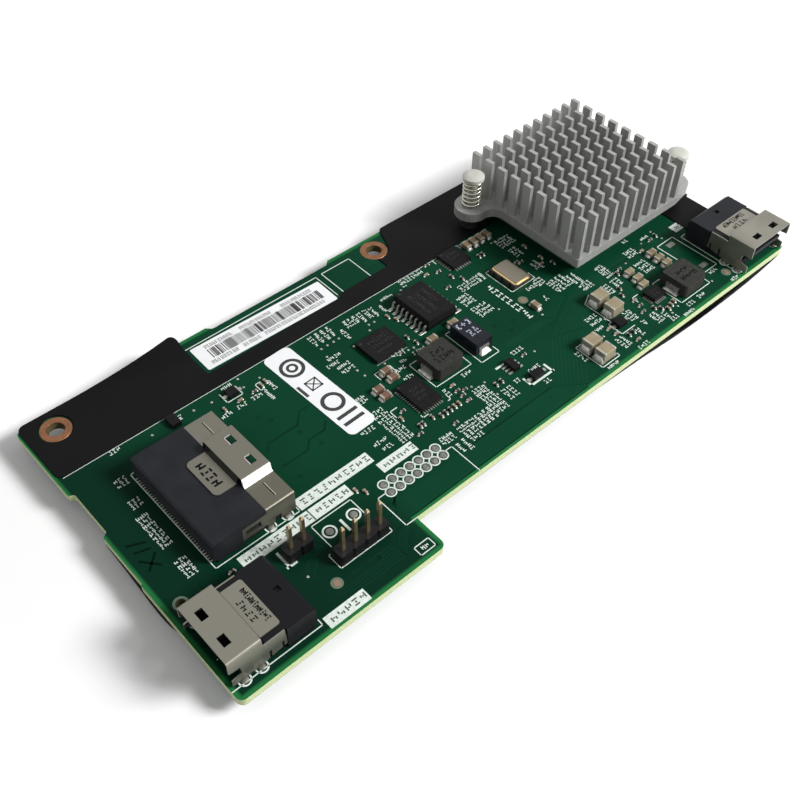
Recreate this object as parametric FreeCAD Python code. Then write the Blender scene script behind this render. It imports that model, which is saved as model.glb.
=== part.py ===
import FreeCAD, Part
import math
import os

os.makedirs("parts", exist_ok=True)
V = FreeCAD.Vector

# ------------------------------------------------------------------ sizes, mm
# The origin is the left mounting hole's axis at the board's top face.
# X runs along the board, Y towards its rear edge, Z up.

# circuit board
board_t = 1.6
board_left = 5.8
board_right = 139.8
board_rear = 3.8
board_front = 55.6
tab_front = 62.8
tab_right = 34.6
corner_r = 1.2
inner_r = 0.5
side_notch_depth = 1.0
side_notch_rear = 14.2
side_notch_front = 25.2
side_step = 0.3
side_step_y = 36.6
rear_notch_depth = 1.0
rear_notch_left = 35.2
rear_notch_right = 63.4
right_notch_depth = 2.0
right_notch_rear = 31.4
right_notch_front = 38.8
right_shoulder = 1.0
hole_d = 3.2
hole_pitch = 73.8
tooling_d = 1.7
tooling_x = -3.3
tooling_y = -43.6

# insulating films
film_t = 0.25
film_margin = 0.5
film_overhang = 0.6
film_front = 10.3
film_pad_right = 27.6
film_strip_rear = 5.8
film_notch_y = 2.85
label_gap = 0.1
film_pad2_left = 72.6
film_leg_left = 128.8
film_gap = 0.3
film_corner_r = 1.4
film_ring_d = 6.3
film_pin_hole = 4.8
curl_r = 12.0
curl_start_x = 5.0
curl_end_y = -2.6
under_left = 41.0
under_margin = 1.2
under_rear = 1.5
under_corner_r = 2.0
bulge_sag = 2.0

# heatsink, chip and push pins
chip_x = 114.5
chip_y = -18.05
chip_w = 27.0
chip_substrate_t = 1.2
lid_w = 23.0
lid_t = 1.5
thermal_pad_w = 22.0
thermal_pad_t = 0.3
sink_w = 32.1
sink_l = 31.2
sink_plate_t = 2.0
fin_field = 31.35
fin_field_l = 30.9
fin_h = 9.2
fin_count = 11
fin_t = 0.85
row_count = 9
row_gap = 1.55
ear_r = 3.55
ear_dx = 19.3
ear_dy = 11.35
ear_blend_r = 2.6
pin_d = 2.1
pin_ear_clear = 0.3
pin_board_clear = 0.2
pin_cap_d = 4.6
pin_cap_t = 1.2
pin_cap_dome = 0.45
barb_d = 3.2
barb_h = 2.4
barb_slot = 0.6
barb_play = 0.3
spring_r = 1.85
spring_wire = 0.45
spring_pitch = 1.01
spring_turns = 6.0

# small receptacles (two alike) and the wide receptacle
sheet_t = 0.25
bend_r = 0.55
pcb_tail = 0.6
leg_w = 0.9
leg_hole_d = 1.4
contact_pitch = 0.6
contact_w = 0.24
contact_t = 0.15
contact_foot = 0.8
contact_rise = 0.7
undercut_h = 0.8
undercut_d = 0.6

small_w = 12.5
small_h = 7.05
small_hood = 6.0
small_depth = 15.65
small_body_top = 5.1
small_body_lip = 0.14
small_arm = 10.3
small_tongue_w = 9.9
small_tongue_r = 0.5
small_step = 0.6
small_chamfer = 0.6
tab_low = 4.35
notch_in = 1.95
notch_low = 2.2
floor_low = 0.7
arm_low = 1.3
slit_w = 0.4
slit_top = 2.55
small_contact_count = 19
small_leg_front = 2.25
small_leg_rear = 5.35
skirt_gap = 0.3
window_w = 2.0
window_l = 1.33
window_in = 1.36
window_dx = 2.75
floor_h = 1.8
floor_in = 2.3
blade_in = 1.0
blade_t = 0.7
blade_side = 0.6
blade_rise = 1.2
dimple_w = 1.0
dimple_d = 0.4
dimple_y = 13.4

wide_w = 23.4
wide_top = 4.8
wide_hood_w = 10.9
wide_hood_h = 1.7
wide_hood = 5.7
wide_depth = 16.15
wide_tongue_w = 8.9
wide_tongue_l = 4.5
wide_tongue_r = 1.0
wide_step = 0.5
wide_arm = 10.5
wide_arm_h = 2.9
wide_arm_low = 1.0
arm_window_l = 2.9
arm_window_h = 1.2
wide_contact_count = 37
wide_leg_front = 1.8
wide_leg_rear = 5.3
bead_l = 3.2
bead_w = 0.3
bead_in = 2.55

port_a_x = 132.17
port_a_mouth = -0.22
port_b_y = -54.0
port_b_mouth = 0.06
wide_x = 20.9
wide_y = -29.6

# pin headers
header_pitch = 2.54
header_h = 2.5
header_chamfer = 0.3
header_pin_w = 0.64
header_pin_h = 8.3
header_pin_tip = 0.5
header_tail = 1.4
header_hole_d = 1.1
header2_x = 14.7
header2_y = -48.0
header4_x = 20.6
header4_y = -53.7

# inductors, large capacitor and oscillator
coil1_x = 61.4
coil1_y = -33.0
coil2_x = 113.9
coil2_y = -48.7
coil_w = 6.6
coil_l = 6.4
coil_h = 3.0
coil_chamfer = 0.7
coil_tab_w = 3.0
coil_tab_t = 0.2
coil_tab_h = 1.6
coil_foot = 1.1
bulk_x = 70.1
bulk_y = -32.3
bulk_w = 4.3
bulk_l = 7.0
bulk_h = 2.8
bulk_tab_w = 2.5
bulk_tab_t = 0.15
bulk_tab_h = 1.5
bulk_foot = 1.2
osc_x = 89.3
osc_y = -24.4
osc_w = 5.0
osc_l = 7.0
osc_base_h = 1.1
osc_ring_in = 0.25
osc_lid_h = 0.3
osc_notch_r = 0.35

# gull-wing memory chip
mem_x = 69.35
mem_y = -20.25
mem_w = 7.5
mem_l = 10.3
mem_h = 2.6
mem_lift = 0.15
mem_draft = 0.3
mem_lead_count = 8
mem_lead_pitch = 1.27
mem_lead_w = 0.42
mem_lead_t = 0.25
mem_lead_reach = 1.45
mem_lead_foot = 0.75

logic_x = 56.3
logic_y = -22.1
logic_w = 7.4
logic_l = 6.2
stage_x = 53.2
stage_y = -36.1
stage_w = 4.9
stage_l = 7.1
regulator_x = 84.3
regulator_y = -13.0
regulator_w = 5.0
charger_x = 106.9
charger_y = -47.2
charger_w = 3.6
charger_l = 3.0
flat_ic_h = 0.9
mini_ic_h = 1.0
cap_edge = 0.05

# labels
label_t = 0.1
barcode_x = 43.6
barcode_y = -2.9
barcode_turn = -1.2
barcode_w = 30.4
barcode_h = 6.6
barcode_r = 0.3
marks_x = 40.4
marks_y = -22.9
marks_turn = 2.0
marks_w = 6.1
marks_l = 25.0
marks_r = 1.2


# ------------------------------------------------------------ general shapes
def outline(corners, z=0.0):
    """Closed wire through (x, y, radius) corners, each rounded by its radius."""
    edges = []
    ends = []
    count = len(corners)
    for i in range(count):
        px, py, _ = corners[i - 1]
        x, y, r = corners[i]
        nx, ny, _ = corners[(i + 1) % count]
        corner = V(x, y, z)
        to_prev = V(px - x, py - y, 0)
        to_next = V(nx - x, ny - y, 0)
        if r <= 0:
            ends.append((corner, corner, None))
            continue
        to_prev.normalize()
        to_next.normalize()
        half = to_prev.getAngle(to_next) / 2
        reach = r / math.tan(half)
        bisector = to_prev + to_next
        bisector.normalize()
        middle = corner + bisector * (r / math.sin(half) - r)
        ends.append((corner + to_prev * reach, corner + to_next * reach, middle))
    for i in range(count):
        start, stop, middle = ends[i]
        if middle is not None:
            edges.append(Part.Arc(start, middle, stop).toShape())
        following = ends[(i + 1) % count][0]
        if (following - stop).Length > 1e-6:
            edges.append(Part.makeLine(stop, following))
    return Part.Wire(edges)


def plate(corners, z, t):
    """Flat plate with rounded corners between z and z + t."""
    return Part.Face(outline(corners, z)).extrude(V(0, 0, t))


def rectangle(x0, y0, x1, y1, r):
    return [(x0, y0, r), (x1, y0, r), (x1, y1, r), (x0, y1, r)]


def block(x0, x1, y0, y1, z0, z1):
    return Part.makeBox(x1 - x0, y1 - y0, z1 - z0, V(x0, y0, z0))


def rod(x, y, d, z0, z1):
    return Part.makeCylinder(d / 2, z1 - z0, V(x, y, z0), V(0, 0, 1))


def side_prism(points, x, t):
    """Profile given as (y, z), standing on the plane at x and t thick along X."""
    wire = Part.makePolygon([V(x, y, z) for y, z in points + points[:1]])
    return Part.Face(wire).extrude(V(t, 0, 0))


def front_prism(corners, y, length):
    """Profile given as (x, z, radius), swept along Y from y."""
    solid = Part.Face(outline(corners)).extrude(V(0, 0, length))
    solid.rotate(V(0, 0, 0), V(1, 0, 0), 90)
    solid.translate(V(0, y + length, 0))
    return solid


def group(solids):
    return Part.makeCompound(solids)


def save(name, shape):
    shape.exportStep("parts/" + name + ".step")


# -------------------------------------------------------------- positions
left_edge = -board_left
under_z = -board_t
lid_z = chip_substrate_t
pad_z = lid_z + lid_t
plate_z = pad_z + thermal_pad_t
plate_top = plate_z + sink_plate_t
fin_top = plate_top + fin_h
pin_places = [(chip_x - ear_dx, chip_y + ear_dy), (chip_x + ear_dx, chip_y - ear_dy)]
spring_h = spring_turns * spring_pitch
cap_z = plate_top + spring_h + spring_wire
tail_z = under_z - pcb_tail
barcode_right = 59.4
barcode_front = -6.6 - label_gap
port_a_y = -board_front + port_a_mouth
port_b_x = left_edge + port_b_mouth
tails_end = port_a_y + small_depth - undercut_d + contact_foot + contact_t
film_leg_end = tails_end + film_gap


def local_to_port_a(shape):
    shape = shape.copy()
    shape.translate(V(port_a_x, port_a_y, 0))
    return shape


def local_to_port_b(shape):
    shape = shape.copy()
    shape.rotate(V(0, 0, 0), V(0, 0, 1), -90)
    shape.translate(V(port_b_x, port_b_y, 0))
    return shape


def local_to_wide(shape):
    shape = shape.copy()
    shape.rotate(V(0, 0, 0), V(0, 0, 1), 90)
    shape.translate(V(wide_x, wide_y, 0))
    return shape


def leg_places(half_width, front, rear):
    x = half_width - sheet_t / 2
    return [(side * x, y) for side in (-1, 1) for y in (front, rear)]


def board_leg_holes():
    small = leg_places(small_w / 2, small_leg_front, small_leg_rear)
    wide = leg_places(wide_w / 2, wide_leg_front, wide_leg_rear)
    holes = []
    for places, put in ((small, local_to_port_a), (small, local_to_port_b),
                        (wide, local_to_wide)):
        for x, y in places:
            holes.append(put(rod(x, y, leg_hole_d, under_z - 1, 1)))
    return holes


# ------------------------------------------------------------ circuit board
def header_places():
    two = [(header2_x + i * header_pitch, header2_y) for i in range(2)]
    four = [(header4_x + i * header_pitch, header4_y) for i in range(4)]
    return two, four


def circuit_board():
    r, s = corner_r, inner_r
    left = left_edge
    inset = left + side_notch_depth
    notch_y = board_rear - rear_notch_depth
    notch_x = board_right - right_notch_depth
    shoulder_x = board_right - right_shoulder
    corners = [
        (left, board_rear, r),
        (left, -side_notch_rear, s),
        (inset, -side_notch_rear - side_notch_depth / 2, s),
        (inset, -side_notch_front + side_notch_depth / 2, s),
        (left, -side_notch_front, s),
        (left, -side_step_y, 0),
        (left - side_step, -side_step_y - side_step, 0),
        (left - side_step, -tab_front, r),
        (tab_right, -tab_front, r),
        (tab_right, -board_front, s),
        (board_right, -board_front, r),
        (board_right, -right_notch_front, s),
        (notch_x, -right_notch_front, s),
        (notch_x, -right_notch_rear, s),
        (shoulder_x, -right_notch_rear, s),
        (shoulder_x, board_rear, r),
        (rear_notch_right + rear_notch_depth, board_rear, s),
        (rear_notch_right, notch_y, s),
        (rear_notch_left, notch_y, s),
        (rear_notch_left - rear_notch_depth, board_rear, s),
    ]
    board = plate(corners, under_z, board_t)
    low, high = under_z - 1, 1
    cuts = [rod(0, 0, hole_d, low, high), rod(hole_pitch, 0, hole_d, low, high),
            rod(tooling_x, tooling_y, tooling_d, low, high)]
    for x, y in pin_places:
        cuts.append(rod(x, y, pin_d + 2 * pin_board_clear, low, high))
    for row in header_places():
        for x, y in row:
            cuts.append(rod(x, y, header_hole_d, low, high))
    cuts += board_leg_holes()
    return board.cut(cuts)


# -------------------------------------------------------- insulating films
def curled_blank():
    """Film blank, flat up to the bend line and curled upwards behind it."""
    end = V(film_pad_right, curl_end_y, 0)
    start = V(curl_start_x, board_rear + film_overhang, 0)
    along = end - start
    along.normalize()
    across = V(-along.y, along.x, 0)
    angle = math.radians(50)
    reach = 200.0

    def at(s, z):
        return start + across * s + V(0, 0, z) - along * reach

    def on_arc(radius, a):
        return at(radius * math.sin(a), curl_r - radius * math.cos(a))

    outer, inner = curl_r, curl_r - film_t
    edges = [
        Part.makeLine(at(-reach, 0), at(0, 0)),
        Part.Arc(on_arc(outer, 0), on_arc(outer, angle / 2), on_arc(outer, angle)).toShape(),
        Part.makeLine(on_arc(outer, angle), on_arc(inner, angle)),
        Part.Arc(on_arc(inner, angle), on_arc(inner, angle / 2), on_arc(inner, 0)).toShape(),
        Part.makeLine(at(0, film_t), at(-reach, film_t)),
        Part.makeLine(at(-reach, film_t), at(-reach, 0)),
    ]
    return Part.Face(Part.Wire(edges)).extrude(along * 2 * reach)


def top_insulator():
    r, s = film_corner_r, inner_r
    left = left_edge + film_margin
    rear = board_rear + film_overhang
    right = board_right - right_notch_depth - film_margin / 5
    pad = plate([
        (left, -film_front, r), (film_pad_right, -film_front, 0),
        (film_pad_right, rear, r), (left, rear, r)], -1, 12)
    curled = curled_blank().common(pad)
    flat = plate([
        (film_pad_right, -film_front, 0), (chip_x - sink_w, -film_front, 0),
        (chip_x - sink_w, -film_front + film_margin, 0),
        (chip_x - sink_w / 2, -film_front + film_margin, 0),
        (chip_x - chip_w / 2 - 1, chip_y + chip_w / 2 + 1, 0),
        (film_leg_left, chip_y + chip_w / 2 + 1, s),
        (film_leg_left, film_leg_end, s), (right, film_leg_end, s),
        (right, rear, r), (hole_pitch + ear_r + 1.5, rear, r),
        (hole_pitch + ear_r, 0, s), (hole_pitch, -film_notch_y, s),
        (film_pad2_left, -film_notch_y, 0), (film_pad2_left, -film_strip_rear, s),
        (barcode_right, -film_strip_rear, 0), (barcode_right, barcode_front, 0),
        (film_pad_right, barcode_front, 0)], 0, film_t)
    film = curled.fuse(flat).removeSplitter()
    cuts = [rod(0, 0, film_ring_d, -1, 1), rod(hole_pitch, 0, film_ring_d, -1, 1)]
    for x, y in pin_places:
        cuts.append(rod(x, y, film_pin_hole, -1, 1))
    return film.cut(cuts)


def underside_insulator():
    """Film under the board, buckled downwards between the two push pins."""
    left, right = under_left, board_right - right_notch_depth - film_margin
    first, last = pin_places[0][0] - ear_r, right - under_corner_r / 2
    front, rear = -board_front + film_margin / 5, board_rear - under_rear
    top = []
    steps = 12
    for i in range(steps + 1):
        f = i / steps
        drop = bulge_sag * (1 - math.cos(2 * math.pi * f)) / 2
        top.append(V(first + (last - first) * f, front, under_z - drop))

    def curve(offset):
        spline = Part.BSplineCurve()
        points = [p - V(0, 0, offset) for p in top]
        spline.interpolate(Points=points, InitialTangent=V(1, 0, 0), FinalTangent=V(1, 0, 0))
        return spline.toShape()

    def flat(x0, x1, z):
        return Part.makeLine(V(x0, front, z), V(x1, front, z))

    low = under_z - film_t
    edges = [
        flat(left, first, under_z), curve(0), flat(last, right, under_z),
        Part.makeLine(V(right, front, under_z), V(right, front, low)),
        flat(right, last, low), curve(film_t), flat(first, left, low),
        Part.makeLine(V(left, front, low), V(left, front, under_z)),
    ]
    sheet = Part.Face(Part.Wire(Part.__sortEdges__(edges))).extrude(V(0, rear - front, 0))
    shape = plate(rectangle(left, front, right, rear, under_corner_r), -20, 20)
    sheet = sheet.common(shape)
    cuts = [rod(hole_pitch, 0, film_ring_d, -20, 0)]
    for x, y in pin_places:
        cuts.append(rod(x, y, barb_d + 1.6, -20, 0))
    for x, y in leg_places(small_w / 2, small_leg_front, small_leg_rear):
        cuts.append(local_to_port_a(rod(x, y, leg_hole_d + 1.2, -20, 0)))
    return sheet.cut(cuts)


# ------------------------------------------------------ heatsink and push pins
def heatsink():
    half, half_l = sink_w / 2, sink_l / 2
    base = plate(rectangle(chip_x - half, chip_y - half_l, chip_x + half, chip_y + half_l, 0.4),
                 plate_z, sink_plate_t)
    # one ear off the rear left corner, turned half a circle for the other
    x, y = pin_places[0]
    edge = chip_x - half
    low = y - ear_r - ear_blend_r - 0.3
    neck = plate([
        (x, y - ear_r, 0), (edge, y - ear_r, ear_blend_r), (edge, low, 0), (edge + 3, low, 0),
        (edge + 3, chip_y + half_l, 0), (edge + 0.5, chip_y + half_l, 0), (x, y + ear_r, 0)],
        plate_z, sink_plate_t)
    ear = neck.fuse(rod(x, y, 2 * ear_r, plate_z, plate_top))
    other = ear.copy()
    other.rotate(V(chip_x, chip_y, 0), V(0, 0, 1), 180)
    base = base.fuse([ear, other]).removeSplitter()
    # long fins first, then the cross cuts that turn them into rows of blades
    pitch = (fin_field - fin_t) / (fin_count - 1)
    x0, y0 = chip_x - fin_field / 2, chip_y - fin_field_l / 2
    fins = []
    for i in range(fin_count):
        x = x0 + i * pitch
        fins.append(block(x, x + fin_t, y0, y0 + fin_field_l, plate_top, fin_top))
    row_pitch = (fin_field_l + row_gap) / row_count
    slots = []
    for j in range(1, row_count):
        y = y0 + j * row_pitch - row_gap
        slots.append(block(x0 - 1, x0 + fin_field + 1, y, y + row_gap, plate_top, fin_top + 1))
    blades = group(fins).cut(group(slots))
    sink = base.fuse(blades.Solids)
    holes = [rod(x, y, pin_d + 2 * pin_ear_clear, plate_z - 1, plate_top + 1)
             for x, y in pin_places]
    return sink.cut(holes)


def push_pin(x, y):
    """Turned profile of a nylon push pin with a domed cap and a split barb."""
    r = pin_d / 2
    barb_top = under_z - barb_play
    tip = barb_top - barb_h
    profile = [
        V(0, 0, tip), V(r * 0.55, 0, tip), V(barb_d / 2, 0, barb_top - barb_h * 0.35),
        V(barb_d / 2, 0, barb_top - barb_h * 0.15), V(r, 0, barb_top),
        V(r, 0, cap_z), V(pin_cap_d / 2, 0, cap_z),
        V(pin_cap_d / 2, 0, cap_z + pin_cap_t - pin_cap_dome)]
    crown = V(0, 0, cap_z + pin_cap_t)
    flat = V(pin_cap_d / 8, 0, cap_z + pin_cap_t)
    edge = profile[-1]
    middle = V(pin_cap_d * 0.34, 0, cap_z + pin_cap_t - pin_cap_dome * 0.26)
    edges = [Part.makeLine(a, b) for a, b in zip(profile, profile[1:])]
    edges.append(Part.Arc(edge, middle, flat).toShape())
    edges.append(Part.makeLine(flat, crown))
    edges.append(Part.makeLine(crown, profile[0]))
    pin = Part.Face(Part.Wire(edges)).revolve(V(0, 0, 0), V(0, 0, 1), 360)
    slot = block(-barb_slot / 2, barb_slot / 2, -barb_d, barb_d, tip - 1, under_z + 0.4)
    pin = pin.cut(slot)
    pin.translate(V(x, y, 0))
    return pin


def spring(x, y):
    z = plate_top + spring_wire / 2
    helix = Part.makeHelix(spring_pitch, spring_h, spring_r)
    start = helix.Edges[0].valueAt(helix.Edges[0].FirstParameter)
    circle = Part.Wire([Part.makeCircle(spring_wire / 2, start, V(0, 1, 0))])
    coil = Part.Wire(helix.Edges).makePipeShell([circle], True, True)
    coil.translate(V(x, y, z))
    return coil


# ------------------------------------------------------------- receptacles
def contact_tails(count, body_rear):
    """Row of bent solder tails that come out under the housing's rear edge."""
    face = body_rear - undercut_d
    foot = body_rear - undercut_d + contact_foot + contact_t
    profile = [(face, 0), (foot, 0), (foot, contact_t), (face + contact_t, contact_t),
               (face + contact_t, contact_rise), (face, contact_rise)]
    first = -(count - 1) / 2 * contact_pitch - contact_w / 2
    return [side_prism(profile, first + i * contact_pitch, contact_w) for i in range(count)]


def shell_leg(x, y):
    return block(x - sheet_t / 2, x + sheet_t / 2, y - leg_w / 2, y + leg_w / 2,
                 tail_z, floor_h)


def folded_sheet(fold):
    """Closed section of a bent sheet from its outer fold line (x, z, radius)."""
    inner = []
    count = len(fold)
    for i in range(count):
        x, z, r = fold[i]
        before = fold[i - 1] if i > 0 else None
        after = fold[i + 1] if i < count - 1 else None
        if before is None or after is None:
            other = after if before is None else before
            inner.append((x + math.copysign(sheet_t, -x), z, 0))
            continue
        ax, az = x - before[0], z - before[1]
        bx, bz = after[0] - x, after[1] - z
        la, lb = math.hypot(ax, az), math.hypot(bx, bz)
        na = (az / la, -ax / la)
        nb = (bz / lb, -bx / lb)
        mx, mz = na[0] + nb[0], na[1] + nb[1]
        scale = sheet_t / (1 + na[0] * nb[0] + na[1] * nb[1])
        turn = ax * bz - az * bx
        radius = r - sheet_t if turn < 0 else r + sheet_t
        inner.append((x + mx * scale, z + mz * scale, max(radius, 0) if r else 0))
    return fold + inner[::-1]


def rounded_tongue(profile, width, end, r):
    """Tongue swept across the shell, with its two free corners rounded."""
    tongue = side_prism(profile, -width / 2, width)
    corners = [e for e in tongue.Edges
               if e.BoundBox.YMin > end - 0.01 and e.BoundBox.ZLength > sheet_t / 2]
    return tongue.makeFillet(r, corners)


def small_shell():
    half, top = small_w / 2, small_h
    fold = [(-half, skirt_gap, 0), (-half, top, bend_r), (half, top, bend_r),
            (half, skirt_gap, 0)]
    shell = front_prism(folded_sheet(fold), 0, small_hood)
    # the rear arms of the side walls, and the tongue that steps down onto the housing
    tongue_top = small_body_top + sheet_t
    tongue = [(small_hood - 0.2, top), (small_hood, top), (small_hood + small_step, tongue_top),
              (small_arm, tongue_top), (small_arm, small_body_top),
              (small_hood + small_step - sheet_t, small_body_top),
              (small_hood - sheet_t * 0.6, top - sheet_t),
              (small_hood - 0.2, top - sheet_t)]
    parts = [rounded_tongue(tongue, small_tongue_w, small_arm, small_tongue_r)]
    for x in (-half, half - sheet_t):
        arm = [(small_hood - 0.2, skirt_gap), (small_hood + 1, floor_low),
               (small_arm, arm_low), (small_arm - 0.3, small_body_top),
               (small_hood - 0.2, small_body_top)]
        parts.append(side_prism(arm, x, sheet_t))
    shell = shell.fuse(parts)
    cuts = []
    for side in (-1, 1):
        x = side * window_dx
        cuts.append(block(x - window_w / 2, x + window_w / 2, window_in,
                          window_in + window_l, top - 1, top + 1))
    # front notch over the foot of each wall, and the two slits behind the rear leg
    notch = [(-1, tab_low), (notch_in, tab_low - 0.3), (notch_in + 0.2, notch_low),
             (0.3, notch_low - 0.4), (0.3, -1), (-1, -1)]
    cuts.append(side_prism(notch, -half - 1, small_w + 2))
    for y in (small_hood + 1, small_arm - 1):
        cuts.append(block(-half - 1, half + 1, y, y + slit_w, -1, slit_top))
    shell = shell.cut(cuts)
    legs = [shell_leg(x, y) for x, y in leg_places(half, small_leg_front, small_leg_rear)]
    return shell.fuse(legs).removeSplitter()


def small_housing():
    inner = small_w / 2 - sheet_t
    outer = small_w / 2 + small_body_lip
    body = block(-inner, inner, small_hood + small_step, small_arm, 0, small_body_top)
    rear = block(-outer, outer, small_arm, small_depth, 0, small_body_top)
    edges = [e for e in rear.Edges
             if e.BoundBox.YMin > small_depth - 0.01 and e.BoundBox.ZMin > small_body_top - 0.01]
    rear = rear.makeChamfer(small_chamfer, edges)
    floor = block(-inner, inner, floor_in, small_hood + small_step, 0, floor_h)
    blade_z = floor_h + blade_rise
    blade = block(-inner + blade_side, inner - blade_side, blade_in, small_hood,
                  blade_z, blade_z + blade_t)
    # wall that closes the hood behind the blade
    roof = small_h - sheet_t
    wall = front_prism([(-inner, 0, 0), (-inner, roof, bend_r), (inner, roof, bend_r),
                        (inner, 0, 0)], small_hood - 1, 0.8)
    lower = block(-inner, inner, small_hood - 0.5, small_hood + small_step, 0,
                  small_body_top - 0.4)
    body = body.fuse([rear, floor, blade, wall, lower]).removeSplitter()
    cuts = [
        block(-outer - 1, outer + 1, small_depth - undercut_d, small_depth + 1, -1, undercut_h),
        block(-dimple_w / 2, dimple_w / 2, dimple_y - dimple_w / 2, dimple_y + dimple_w / 2,
              small_body_top - dimple_d, small_body_top + 1)]
    return body.cut(cuts)


def wide_shell():
    half, hood_half = wide_w / 2, wide_hood_w / 2
    top = wide_top + wide_hood_h
    slope = 0.3
    fold = [(-half, skirt_gap, 0), (-half, wide_top, bend_r),
            (-hood_half - slope, wide_top, bend_r), (-hood_half, top, bend_r),
            (hood_half, top, bend_r), (hood_half + slope, wide_top, bend_r),
            (half, wide_top, bend_r), (half, skirt_gap, 0)]
    shell = front_prism(folded_sheet(fold), 0, wide_hood)
    tongue_top = wide_top + sheet_t
    tongue_end = wide_hood + wide_tongue_l
    tongue = [(wide_hood - sheet_t, top), (wide_hood, top), (wide_hood + wide_step, tongue_top),
              (tongue_end, tongue_top), (tongue_end, wide_top),
              (wide_hood + wide_step - sheet_t, wide_top), (wide_hood - sheet_t, top - sheet_t)]
    parts = [rounded_tongue(tongue, wide_tongue_w, tongue_end, wide_tongue_r)]
    arm_top = wide_arm_low + wide_arm_h
    for x in (-half, half - sheet_t):
        parts.append(block(x, x + sheet_t, wide_hood - 0.2, wide_arm, wide_arm_low, arm_top))
    shell = shell.fuse(parts)
    cuts = []
    for side in (-1, 1):
        x = side * window_dx
        cuts.append(block(x - window_w / 2, x + window_w / 2, window_in,
                          window_in + window_l, top - 1, top + 1))
        x = side * (half + hood_half) / 2
        cuts.append(block(x - bead_l / 2, x + bead_l / 2, bead_in, bead_in + bead_w,
                          wide_top - 1, wide_top + 1))
    middle = (wide_hood + 0.6 + wide_arm) / 2
    mid_z = (wide_arm_low + arm_top) / 2
    cuts.append(block(-half - 1, half + 1, middle - arm_window_l / 2, middle + arm_window_l / 2,
                      mid_z - arm_window_h / 2, mid_z + arm_window_h / 2))
    cuts.append(block(-half - 1, half + 1, (wide_leg_front + wide_leg_rear) / 2 - 0.6,
                      (wide_leg_front + wide_leg_rear) / 2 + 0.6, -1, 1.6))
    shell = shell.cut(cuts)
    legs = [shell_leg(x, y) for x, y in leg_places(half, wide_leg_front, wide_leg_rear)]
    return shell.fuse(legs).removeSplitter()


def wide_housing():
    inner = wide_w / 2 - sheet_t
    outer = wide_w / 2
    arm_top = wide_arm_low + wide_arm_h
    body = block(-outer, outer, wide_hood, wide_depth, 0, wide_top)
    edges = [e for e in body.Edges
             if e.BoundBox.YMin > wide_depth - 0.01 and e.BoundBox.ZMin > wide_top - 0.01]
    body = body.makeChamfer(0.35, edges)
    floor = block(-inner, inner, wide_leg_front + 0.6, wide_hood, 0, floor_h)
    blade_z = (floor_h + wide_top - sheet_t - blade_t) / 2
    blade = block(-inner + blade_side, inner - blade_side, blade_in, wide_hood,
                  blade_z, blade_z + blade_t)
    body = body.fuse([floor, blade]).removeSplitter()
    cuts = [block(-outer - 1, outer + 1, wide_depth - undercut_d, wide_depth + 1,
                  -1, undercut_h)]
    for x0, x1 in ((-outer - 1, -inner), (inner, outer + 1)):
        cuts.append(block(x0, x1, wide_hood - 1, wide_arm, -1, arm_top))
    return body.cut(cuts)


# -------------------------------------------------------------- pin headers
def header_body(places):
    parts = []
    half, c = header_pitch / 2, header_chamfer
    for x, y in places:
        parts.append(plate([
            (x - half + c, y - half, 0), (x + half - c, y - half, 0),
            (x + half, y - half + c, 0), (x + half, y + half - c, 0),
            (x + half - c, y + half, 0), (x - half + c, y + half, 0),
            (x - half, y + half - c, 0), (x - half, y - half + c, 0)], 0, header_h))
    body = parts[0].fuse(parts[1:]).removeSplitter()
    w = header_pin_w / 2
    return body.cut([block(x - w, x + w, y - w, y + w, -1, header_h + 1) for x, y in places])


def header_pin(x, y):
    """Square pin with a tapered point at both ends."""
    w = header_pin_w / 2
    low = under_z - header_tail

    def square(half, z):
        points = [V(x - half, y - half, z), V(x + half, y - half, z),
                  V(x + half, y + half, z), V(x - half, y + half, z), V(x - half, y - half, z)]
        return Part.makePolygon(points)

    levels = [(w * 0.5, low), (w, low + header_pin_tip),
              (w, header_pin_h - header_pin_tip), (w * 0.5, header_pin_h)]
    return Part.makeLoft([square(half, z) for half, z in levels], True, True)


# ------------------------------------------------------- large components
def coil_parts(x, y):
    """Moulded inductor: chamfered block with a folded tab at each end."""
    hw, hl, c = coil_w / 2, coil_l / 2, coil_chamfer
    s = coil_chamfer * 0.5
    body = plate([
        (x - hw + s, y - hl, 0), (x + hw - c, y - hl, 0), (x + hw, y - hl + c, 0),
        (x + hw, y + hl - s, 0), (x + hw - s, y + hl, 0), (x - hw + s, y + hl, 0),
        (x - hw, y + hl - s, 0), (x - hw, y - hl + s, 0)], coil_tab_t, coil_h - coil_tab_t)
    tabs = []
    for side in (-1, 1):
        outer = side * (hw + coil_tab_t)
        inner = side * hw
        foot = side * (hw - coil_foot)
        corners = [(outer, 0, 0), (outer, coil_tab_h, 0), (inner, coil_tab_h, 0),
                   (inner, coil_tab_t, 0), (foot, coil_tab_t, 0), (foot, 0, 0)]
        tab = front_prism(corners, -coil_tab_w / 2, coil_tab_w)
        tab.translate(V(x, y, 0))
        tabs.append(tab)
    return body, tabs


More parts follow.
